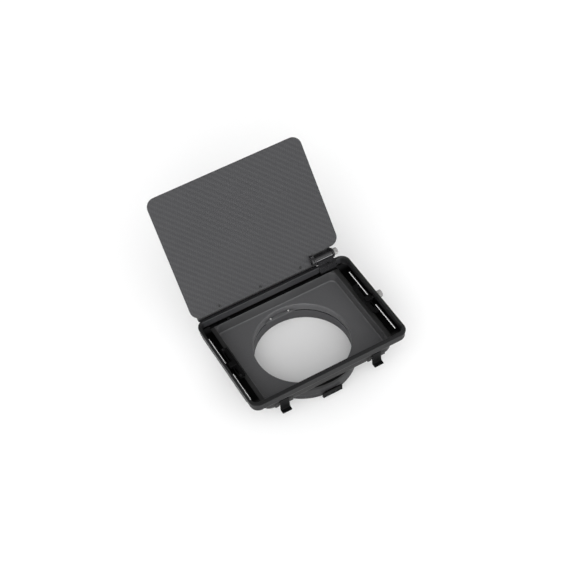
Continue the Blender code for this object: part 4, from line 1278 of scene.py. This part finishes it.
class MATTEBOX_OT_clips(PieceOperator):
    """Build the two windowed side clips"""

    bl_idname = "mattebox.clips"
    bl_label = "Side clips"

    def execute(self, context):
        for side, word in ((-1, "left"), (1, "right")):
            self.clip(side, "clip_" + word)
        return {"FINISHED"}

    def clip(self, side, node):
        """One clip: a bar, a nose over the stage rim, a boss and two windows."""
        low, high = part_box(node)
        inner, outer, front = CLIP_INNER_X, CLIP_OUTER_X, CLIP_FRONT_Z
        left, right = sided(side, inner, outer)
        bar = slab(
            (left, low.y, low.z), (right, high.y, front), 0.8 * MM, 4,
            low_edge=0.1 * MM, high_edge=0.3 * MM, edge_steps=2,
        )
        left, right = sided(side, CLIP_NOSE_X, inner + 0.4 * MM)
        nose = slab(
            (left, low.y + 1.5 * MM, low.z + 0.6 * MM),
            (right, high.y - 1.5 * MM, front + 0.4 * MM), 0.5 * MM, 4,
            high_edge=0.2 * MM, edge_steps=2,
        )
        outline = rectangle(
            (LOCK_SCREW_Y - CLIP_BOSS_HALF_WIDTH, low.z + 0.2 * MM),
            (LOCK_SCREW_Y + CLIP_BOSS_HALF_WIDTH, LOCK_SCREW_Z + 2 * MM),
        )
        boss = prism(
            eased(outline, 0.7 * MM, 4), *sided(side, inner - 0.4 * MM, outer + 2.6 * MM),
            ALONG_X, 0.15 * MM, 0.15 * MM, 1,
        )
        fuse(bar, nose, boss)
        left, right = sided(side, inner + 1.4 * MM, outer - 0.7 * MM)
        cuts = [
            slab((left, start, 30 * MM), (right, end, 40 * MM), 0.5 * MM, 4)
            for start, end in CLIP_WINDOWS
        ]
        if side > 0:
            cuts.append(rod(
                LOCK_SHANK_RADIUS + GAP, inner - 0.1 * MM, outer + 4 * MM, LOCK_AXIS,
            ))
        carve(bar, *cuts)
        dress(bar, node)


class MATTEBOX_OT_hinge(PieceOperator):
    """Build the hinge block on the hood and the forked bracket on the flag"""

    bl_idname = "mattebox.hinge"
    bl_label = "Hinge"

    def execute(self, context):
        self.block()
        self.bracket()
        return {"FINISHED"}

    def block(self):
        """The block let into the hood's wall, with its neck and split barrel."""
        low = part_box("hinge_block")[0]
        block = slab(
            (BLOCK_SPAN_X[0], low.y, low.z), (BLOCK_SPAN_X[1], BLOCK_WALL_Y, BLOCK_FRONT_Z),
            0.4 * MM, 3, low_edge=0.2 * MM, high_edge=0.35 * MM, edge_steps=2,
        )
        neck = slab((*NECK_LOW, BLOCK_FRONT_Z - PAST), (*NECK_HIGH, HINGE.z))
        barrel = rod(BARREL_RADIUS, *BARREL_SPAN_X, HINGE_AXIS, 48, 0.3 * MM)
        fuse(block, neck, barrel)
        start, end = 46 * MM, 72 * MM
        bore = rod(HINGE_BORE_RADIUS, start, end, HINGE_AXIS, 32)
        split = slab(
            (start, HINGE.y - BARREL_SPLIT / 2, HINGE.z + PAST),
            (end, HINGE.y + BARREL_SPLIT / 2, HINGE.z + WELL_PAST),
        )
        hole = rod(1.0 * MM, 36 * MM, BLOCK_FRONT_Z + 2 * PAST, at(*BLOCK_SCREW_PLACE))
        grooves = [
            slab(
                (start, -half, GROOVE_FLOOR), (end, half, WELL_PAST),
                place=at(0, HINGE.y, HINGE.z, Matrix.Rotation(math.radians(lean), 4, "X")),
            )
            for lean, half in BARREL_GROOVES
        ]
        carve(block, bore, split, hole, *grooves)
        dress(block, "hinge_block")

    def bracket(self):
        """The bracket behind the flag, whose arms hold the barrel between them."""
        high = FLAG_BACK
        low = high - BRACKET_THICKNESS
        plate = slab(
            (*BRACKET_LOW, low), (*BRACKET_HIGH, high), 1.2 * MM, 4, ON_FLAG,
            low_edge=0.3 * MM, edge_steps=2,
        )
        # Two webs close the gap to the rail; no face of theirs lies in one of the plate's
        extras = [
            slab(
                (45.4 * MM, -7.2 * MM, low + 0.15 * MM), (50.3 * MM, -1.55 * MM, high - 0.1 * MM),
                place=ON_FLAG,
            ),
            slab(
                (50.1 * MM, -6.4 * MM, low + 0.25 * MM), (56.0 * MM, -2.05 * MM, high - 0.2 * MM),
                place=ON_FLAG,
            ),
        ]
        web = rectangle((-2.1 * MM, low + 0.3 * MM), (4.7 * MM, 2.2 * MM))
        for start, end in BRACKET_ARMS:
            extras.append(rod(BRACKET_ARM_RADIUS, start, end, FLAG_AXIS, 48, 0.25 * MM))
            extras.append(prism(web, start + 0.15 * MM, end - 0.15 * MM, FLAG_AXIS))
        fuse(plate, *extras)
        groove = slab((47.2 * MM, -10 * MM, 2.6 * MM), (47.8 * MM, 10 * MM, 8 * MM), place=ON_FLAG)
        bore = rod(HINGE_BORE_RADIUS, 44 * MM, 72 * MM, FLAG_AXIS, 32)
        holes = [
            rod(0.9 * MM, low - 2 * MM, high + 2 * MM, ON_FLAG @ at(x, BRACKET_SCREW_UP), 16)
            for x in BRACKET_SCREW_XS
        ]
        carve(plate, groove, bore, *holes)
        dress(plate, "hinge_bracket")


class MATTEBOX_OT_flag(PieceOperator):
    """Build the carbon flag and the rail behind its lower edge"""

    bl_idname = "mattebox.flag"
    bl_label = "Flag"

    def execute(self, context):
        settings = flag_settings()
        half = FLAG_HALF_WIDTH
        notch_x, notch_up = FLAG_NOTCH
        low, high = FLAG_SPAN
        outline = [
            (-half, low), (notch_x, low), (notch_x, notch_up), (half, notch_up), (half, high),
            (-half, high),
        ]
        corner, notch_corner = settings.corner, 0.6 * MM
        radii = [corner, notch_corner, notch_corner, corner, corner, corner]
        panel = prism(
            eased(outline, radii, 12), FLAG_FACE - FLAG_THICKNESS, FLAG_FACE, ON_FLAG,
            0.3 * MM, 0.3 * MM, 3,
        )
        holes = [
            rod(0.9 * MM, -9 * MM, 5 * MM, ON_FLAG @ at(x, FLAG_SCREW_UP), 16)
            for x in FLAG_SCREW_XS
        ]
        carve(panel, *holes)
        dress(panel, "flag_panel")
        rail = slab(
            (RAIL_SPAN_X[0], RAIL_SPAN[0], FLAG_BACK - RAIL_THICKNESS),
            (RAIL_SPAN_X[1], RAIL_SPAN[1], FLAG_BACK),
            1.0 * MM, 4, ON_FLAG, low_edge=0.5 * MM, high_edge=0.3 * MM,
        )
        dress(rail, "flag_rail")
        return {"FINISHED"}


class MATTEBOX_OT_knobs(PieceOperator):
    """Build the side lock screw and the tension screw with their diamond knurls"""

    bl_idname = "mattebox.knobs"
    bl_label = "Knurled screws"

    def execute(self, context):
        low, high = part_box("side_lock_screw")
        self.knob(
            "side_lock_screw", LOCK_AXIS, (LOCK_KNURL_START_X, high.x), LOCK_KNURL_RADIUS,
            low.x, LOCK_SHANK_RADIUS,
        )
        low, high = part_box("tension_screw")
        self.knob(
            "tension_screw", FLAG_AXIS, (TENSION_KNURL_START_X, high.x), TENSION_KNURL_RADIUS,
            low.x, HINGE_SHANK_RADIUS,
        )
        return {"FINISHED"}

    def knob(self, node, place, span, radius, shank_start, shank_radius):
        """A knob with a diamond knurl, a plain collar, a hexagon socket and a shank."""
        teeth = metal_settings().knurl_teeth
        steps = teeth * 4
        start, end = span
        depth = 0.28 * MM
        edge = 0.45 * MM
        socket = 1.25 * MM
        loops = [
            circle(shank_radius * 0.8, shank_start, steps),
            circle(shank_radius, shank_start + 0.3 * MM, steps),
            circle(shank_radius, start, steps),
            circle(radius - edge, start, steps),
            circle(radius - depth, start + edge * 0.6, steps),
        ]
        rows = 22
        grip_start, grip_length = start + edge, end - start - 2 * edge
        for row in range(rows + 1):
            along = grip_length * row / rows
            twist = along / (2 * math.pi * radius / teeth)
            loop = []
            for step in range(steps):
                angle = 2 * math.pi * step / steps
                turns = teeth * step / steps
                ridge = min(self.wave(turns + twist), self.wave(turns - twist))
                reach = radius - depth * (1 - ridge)
                loop.append(Vector((
                    reach * math.cos(angle), reach * math.sin(angle), grip_start + along,
                )))
            loops.append(loop)
        loops += [
            circle(radius - depth, end - edge * 0.6, steps),
            circle(radius - edge, end, steps),
            circle(socket + 0.35 * MM, end, steps),
            circle(socket + 0.1 * MM, end - 0.2 * MM, steps, 6),
            circle(socket, end - 1.2 * MM, steps, 6),
        ]
        dress(skin(loops, place), node, 28)

    def wave(self, turns):
        """A zigzag from 0 to 1 and back in each turn."""
        return 1 - abs(2 * (turns % 1.0) - 1)


class MATTEBOX_OT_latches(PieceOperator):
    """Build the two latches with their pins and return springs"""

    bl_idname = "mattebox.latches"
    bl_label = "Latches"

    def execute(self, context):
        for side, word in ((-1, "left"), (1, "right")):
            middle = side * LATCH_X
            self.lever(middle, "latch_" + word)
            low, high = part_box("latch_pin_" + word)
            pin = rod(LATCH_PIN_RADIUS, low.x, high.x, LATCH_AXIS, 32, 0.15 * MM)
            dress(pin, "latch_pin_" + word)
            self.spring(middle, "latch_spring_" + word)
        return {"FINISHED"}

    def lever(self, middle, node):
        """A bent lever with a nose through the stage's window and two barrels on the pin."""
        low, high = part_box(node)
        half = LATCH_WIDTH / 2
        outer, inner = LEVER_FACES
        foot_top = low.z + FOOT_THICKNESS
        outline = [
            (inner, low.z + 0.2 * MM), (inner, high.z), (outer, high.z), (outer, foot_top),
            (low.y, foot_top), (low.y, low.z), (inner - 0.6 * MM, low.z),
        ]
        radii = [0.2 * MM, 0.3 * MM, 0.5 * MM, 1.1 * MM, 0.7 * MM, 0.7 * MM, 0.3 * MM]
        lever = prism(
            eased(outline, radii, 5), middle - half, middle + half, ALONG_X, 0.5 * MM, 0.5 * MM, 3,
        )
        y, z = LATCH_PIVOT
        extras = [slab(
            (middle - NOSE_HALF_WIDTH, inner - 0.5 * MM, NOSE_SPAN_Z[0]),
            (middle + NOSE_HALF_WIDTH, high.y, NOSE_SPAN_Z[1]),
            0.3 * MM, 2, low_edge=0.2 * MM, high_edge=0.2 * MM, edge_steps=1,
        )]
        for edge in (-1, 1):
            xs = sorted((middle + edge * 2.3 * MM, middle + edge * half))
            extras.append(rod(LEVER_BARREL_RADIUS, *xs, LATCH_AXIS, 32, 0.15 * MM))
            extras.append(slab(
                (xs[0] + 0.05 * MM, inner - 0.4 * MM, z - 1.2 * MM),
                (xs[1] - 0.05 * MM, y, z + 1.2 * MM),
            ))
        fuse(lever, *extras)
        carve(lever, rod(LATCH_HOLE_RADIUS, middle - 8 * MM, middle + 8 * MM, LATCH_AXIS, 32))
        dress(lever, node)

    def spring(self, middle, node):
        """A torsion spring wound round the pin, with a straight leg at each end."""
        steps = 24
        y, z = LATCH_PIVOT
        start_x = middle - 2 * SPRING_PITCH
        points = [Vector((start_x, y + 1.7 * MM, z - SPRING_RADIUS))]
        for index in range(int(SPRING_TURNS * steps) + 1):
            angle = -math.pi / 2 - 2 * math.pi * index / steps
            points.append(Vector((
                start_x + SPRING_PITCH * index / steps,
                y + SPRING_RADIUS * math.cos(angle),
                z + SPRING_RADIUS * math.sin(angle),
            )))
        points.append(points[-1] + Vector((0, 0, 0.8 * MM)))
        dress(tube(points, SPRING_WIRE_RADIUS), node)


class MATTEBOX_OT_bumpers(PieceOperator):
    """Build the rubber bumpers behind the stage"""

    bl_idname = "mattebox.bumpers"
    bl_label = "Bumpers"

    def execute(self, context):
        for index in range(1, 5):
            node = "rear_bumper_%d" % index
            low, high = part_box(node)
            centre = (low + high) / 2
            radius = (high.x - low.x) / 2
            stem, middle = 1.0 * MM, 0.3 * MM
            seat = STAGE_REAR_Z - GAP
            outline = [
                (middle, high.z), (stem, high.z), (stem, seat), (radius, seat), (radius, low.z),
                (middle, low.z),
            ]
            radii = [0, 0.1 * MM, 0, 0.2 * MM, 0.9 * MM, 0]
            dress(turned(eased(outline, radii, 5), 48, at(centre.x, centre.y)), node)
        return {"FINISHED"}


# Screws along a main axis: names, the way of the head, its length and the shank's radius
STRAIGHT_SCREWS = (
    ("stage_screw_", "123456", DOWN, 1.0 * MM, 0.7 * MM),
    ("ring_screw_", "1234", DOWN, 1.0 * MM, 0.6 * MM),
    ("bore_plate_screw_", ("left", "right"), UP, 0.6 * MM, 0.35 * MM),
    ("tab_screw_", ("left", "right"), FORWARD, 0.8 * MM, 0.6 * MM),
    ("clip_screw_", ("lower", "upper"), UP, 0.8 * MM, 0.55 * MM),
    ("rim_screw", ("",), UP, 1.0 * MM, 0.6 * MM),
    ("hinge_block_screw", ("",), UP, 0.5 * MM, 0.6 * MM),
)


class MATTEBOX_OT_screws(PieceOperator):
    """Build the small screws with their hexagon sockets"""

    bl_idname = "mattebox.screws"
    bl_label = "Small screws"

    def execute(self, context):
        for name, ends, turn, head_length, shank_radius in STRAIGHT_SCREWS:
            for end in ends:
                self.straight(name + end, turn, head_length, shank_radius)
        for index, x in enumerate(FLAG_SCREW_XS, 1):
            place = ON_FLAG @ at(x, FLAG_SCREW_UP, FLAG_FACE + 0.15 * MM)
            self.screw("flag_screw_%d" % index, place, 1.4 * MM, 0.5 * MM, 0.6 * MM, 3.6 * MM)
        rear = FLAG_BACK - BRACKET_THICKNESS - 0.15 * MM
        for index, x in enumerate(BRACKET_SCREW_XS, 1):
            place = ON_FLAG @ at(x, BRACKET_SCREW_UP, rear, DOWN)
            self.screw("bracket_screw_%d" % index, place, 1.5 * MM, 0.7 * MM, 0.6 * MM, 3.3 * MM)
        return {"FINISHED"}

    def straight(self, node, turn, head_length, shank_radius):
        """A screw along a main axis, placed and sized by its CAD node."""
        low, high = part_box(node)
        centre = (low + high) / 2
        size = high - low
        way = turn.to_3x3() @ Vector((0, 0, 1))
        length = abs(size.dot(way))
        radius = (size.x + size.y + size.z - length) / 4
        seat = centre + way * (length / 2 - head_length)
        self.screw(
            node, Matrix.Translation(seat) @ turn, radius, head_length, shank_radius,
            length - head_length,
        )

    def screw(self, node, place, radius, head_length, shank_radius, shank_length):
        """A low round head with a hexagon socket, on a plain shank."""
        steps = 36
        edge = min(0.25 * radius, 0.45 * head_length)
        socket = radius * 0.48
        loops = [
            circle(shank_radius * 0.7, -shank_length, steps),
            circle(shank_radius, 0.2 * MM - shank_length, steps),
            circle(shank_radius, 0, steps),
            circle(radius, 0, steps),
            circle(radius, head_length - edge, steps),
            circle(radius - 0.3 * edge, head_length - 0.3 * edge, steps),
            circle(radius - edge, head_length, steps),
            circle(socket * 1.2, head_length, steps),
            circle(socket, head_length * 0.9, steps, 6),
            circle(socket, head_length * 0.3, steps, 6),
        ]
        dress(skin(loops, place), node, 30)


class MATTEBOX_OT_studio(PieceOperator):
    """Build the stage for the picture: pale floor, soft light and camera"""

    bl_idname = "mattebox.studio"
    bl_label = "Studio"

    def execute(self, context):
        self.floor()
        self.lights()
        self.camera()
        return {"FINISHED"}

    def floor(self):
        """A wide pale floor under the rear ring."""
        reach = FLOOR_REACH
        corners = rectangle((-reach, -reach), (reach, reach))
        floor = solid([(x, y, -FLOOR_DEPTH) for x, y in corners], [(0, 1, 2, 3)])
        floor.name = "floor"
        paint = Paint("pale_floor")
        place = paint.place()
        cloud = paint.noise(place, 3.0)
        paint.set(Base_Color=paint.blend(cloud, PALE, PALEST), Roughness=0.6)
        floor.data.materials.append(paint.material)

    def lights(self):
        """A dim surround that glows low down and towards the front left, and a soft lamp."""
        world = bpy.data.worlds.new("surround")
        world.use_nodes = True
        sky = Nodes(world.node_tree)
        way = sky.node("ShaderNodeTexCoord", output="Generated")
        settings = {"operation": "DOT_PRODUCT"}
        facing = sky.node("ShaderNodeVectorMath", settings, {0: way, 1: KEY_WAY}, "Value")
        glow = facing.math("MAXIMUM", 0.0)
        height = sky.node("ShaderNodeSeparateXYZ", inputs={0: way}, output=2)
        low = 1.0 - height.math("MAXIMUM", 0.0)
        strength = DIM_SKY + KEY_SKY * glow * glow + LOW_SKY * low * low * low
        backdrop = world.node_tree.nodes["Background"]
        sky.feed(backdrop.inputs["Color"], (1.0, 1.0, 1.0))
        sky.feed(backdrop.inputs["Strength"], strength)
        bpy.context.scene.world = world
        self.lamp("key_lamp", KEY_WAY * LAMP_DISTANCE, LAMP_SIZE, LAMP_POWER)
        bpy.context.scene.view_settings.view_transform = "Standard"

    def lamp(self, name, place, size, power):
        """A square soft lamp that faces the middle of the object."""
        light = bpy.data.lights.new(name, "AREA")
        light.shape = "SQUARE"
        light.size = size
        light.energy = power
        item = bpy.data.objects.new(name, light)
        item.location = place
        item.rotation_euler = Vector(place).to_track_quat("Z", "Y").to_euler()
        bpy.context.scene.collection.objects.link(item)

    def camera(self):
        """The camera at the photograph's place, with its roll."""
        back = Vector((
            math.sin(VIEW_AZIMUTH) * math.cos(VIEW_ELEVATION),
            -math.cos(VIEW_AZIMUTH) * math.cos(VIEW_ELEVATION),
            math.sin(VIEW_ELEVATION),
        ))
        level = Vector((math.cos(VIEW_AZIMUTH), math.sin(VIEW_AZIMUTH), 0))
        upright = back.cross(level)
        right = level * math.cos(VIEW_ROLL) + upright * math.sin(VIEW_ROLL)
        up = upright * math.cos(VIEW_ROLL) - level * math.sin(VIEW_ROLL)
        place = VIEW_TARGET + back * VIEW_DISTANCE + right * VIEW_SHIFT[0] + up * VIEW_SHIFT[1]
        lens = bpy.data.cameras.new("camera")
        lens.sensor_width = SENSOR_WIDTH
        lens.lens = FOCAL_PIXELS * SENSOR_WIDTH / IMAGE_SIZE
        lens.clip_start = 0.05
        lens.clip_end = 50.0
        camera = bpy.data.objects.new("camera", lens)
        turn = Matrix((right, up, back)).transposed().to_4x4()
        camera.matrix_world = Matrix.Translation(place) @ turn
        bpy.context.scene.collection.objects.link(camera)
        bpy.context.scene.camera = camera


OPERATORS = (
    MATTEBOX_OT_hood, MATTEBOX_OT_grips, MATTEBOX_OT_stage, MATTEBOX_OT_rings,
    MATTEBOX_OT_clips, MATTEBOX_OT_hinge, MATTEBOX_OT_flag, MATTEBOX_OT_knobs,
    MATTEBOX_OT_latches, MATTEBOX_OT_bumpers, MATTEBOX_OT_screws, MATTEBOX_OT_studio,
)


class MATTEBOX_PT_panel(bpy.types.Panel):
    """Lists the settings and the pieces in the sidebar"""

    bl_idname = "MATTEBOX_PT_panel"
    bl_label = "Matte box"
    bl_space_type = "VIEW_3D"
    bl_region_type = "UI"
    bl_category = "Matte box"

    def draw(self, context):
        for settings in (hood_settings(), flag_settings(), metal_settings()):
            for key in settings.__annotations__:
                self.layout.prop(settings, key)
        for operator in OPERATORS:
            self.layout.operator(operator.bl_idname)


SETTINGS = {
    "matte_box_hood": HoodSettings,
    "matte_box_flag": FlagSettings,
    "matte_box_metal": MetalSettings,
}


def register():
    """Register the settings, the operators and the panel."""
    for name, group in SETTINGS.items():
        bpy.utils.register_class(group)
        setattr(bpy.types.Scene, name, PointerProperty(type=group))
    for item in (*OPERATORS, MATTEBOX_PT_panel):
        bpy.utils.register_class(item)


def unregister():
    """Undo register."""
    for item in (MATTEBOX_PT_panel, *reversed(OPERATORS)):
        bpy.utils.unregister_class(item)
    for name, group in SETTINGS.items():
        delattr(bpy.types.Scene, name)
        bpy.utils.unregister_class(group)


def main():
    """Build every piece and the studio."""
    register()
    for operator in OPERATORS:
        family, action = operator.bl_idname.split(".")
        getattr(getattr(bpy.ops, family), action)()


if __name__ == "__main__":
    main()
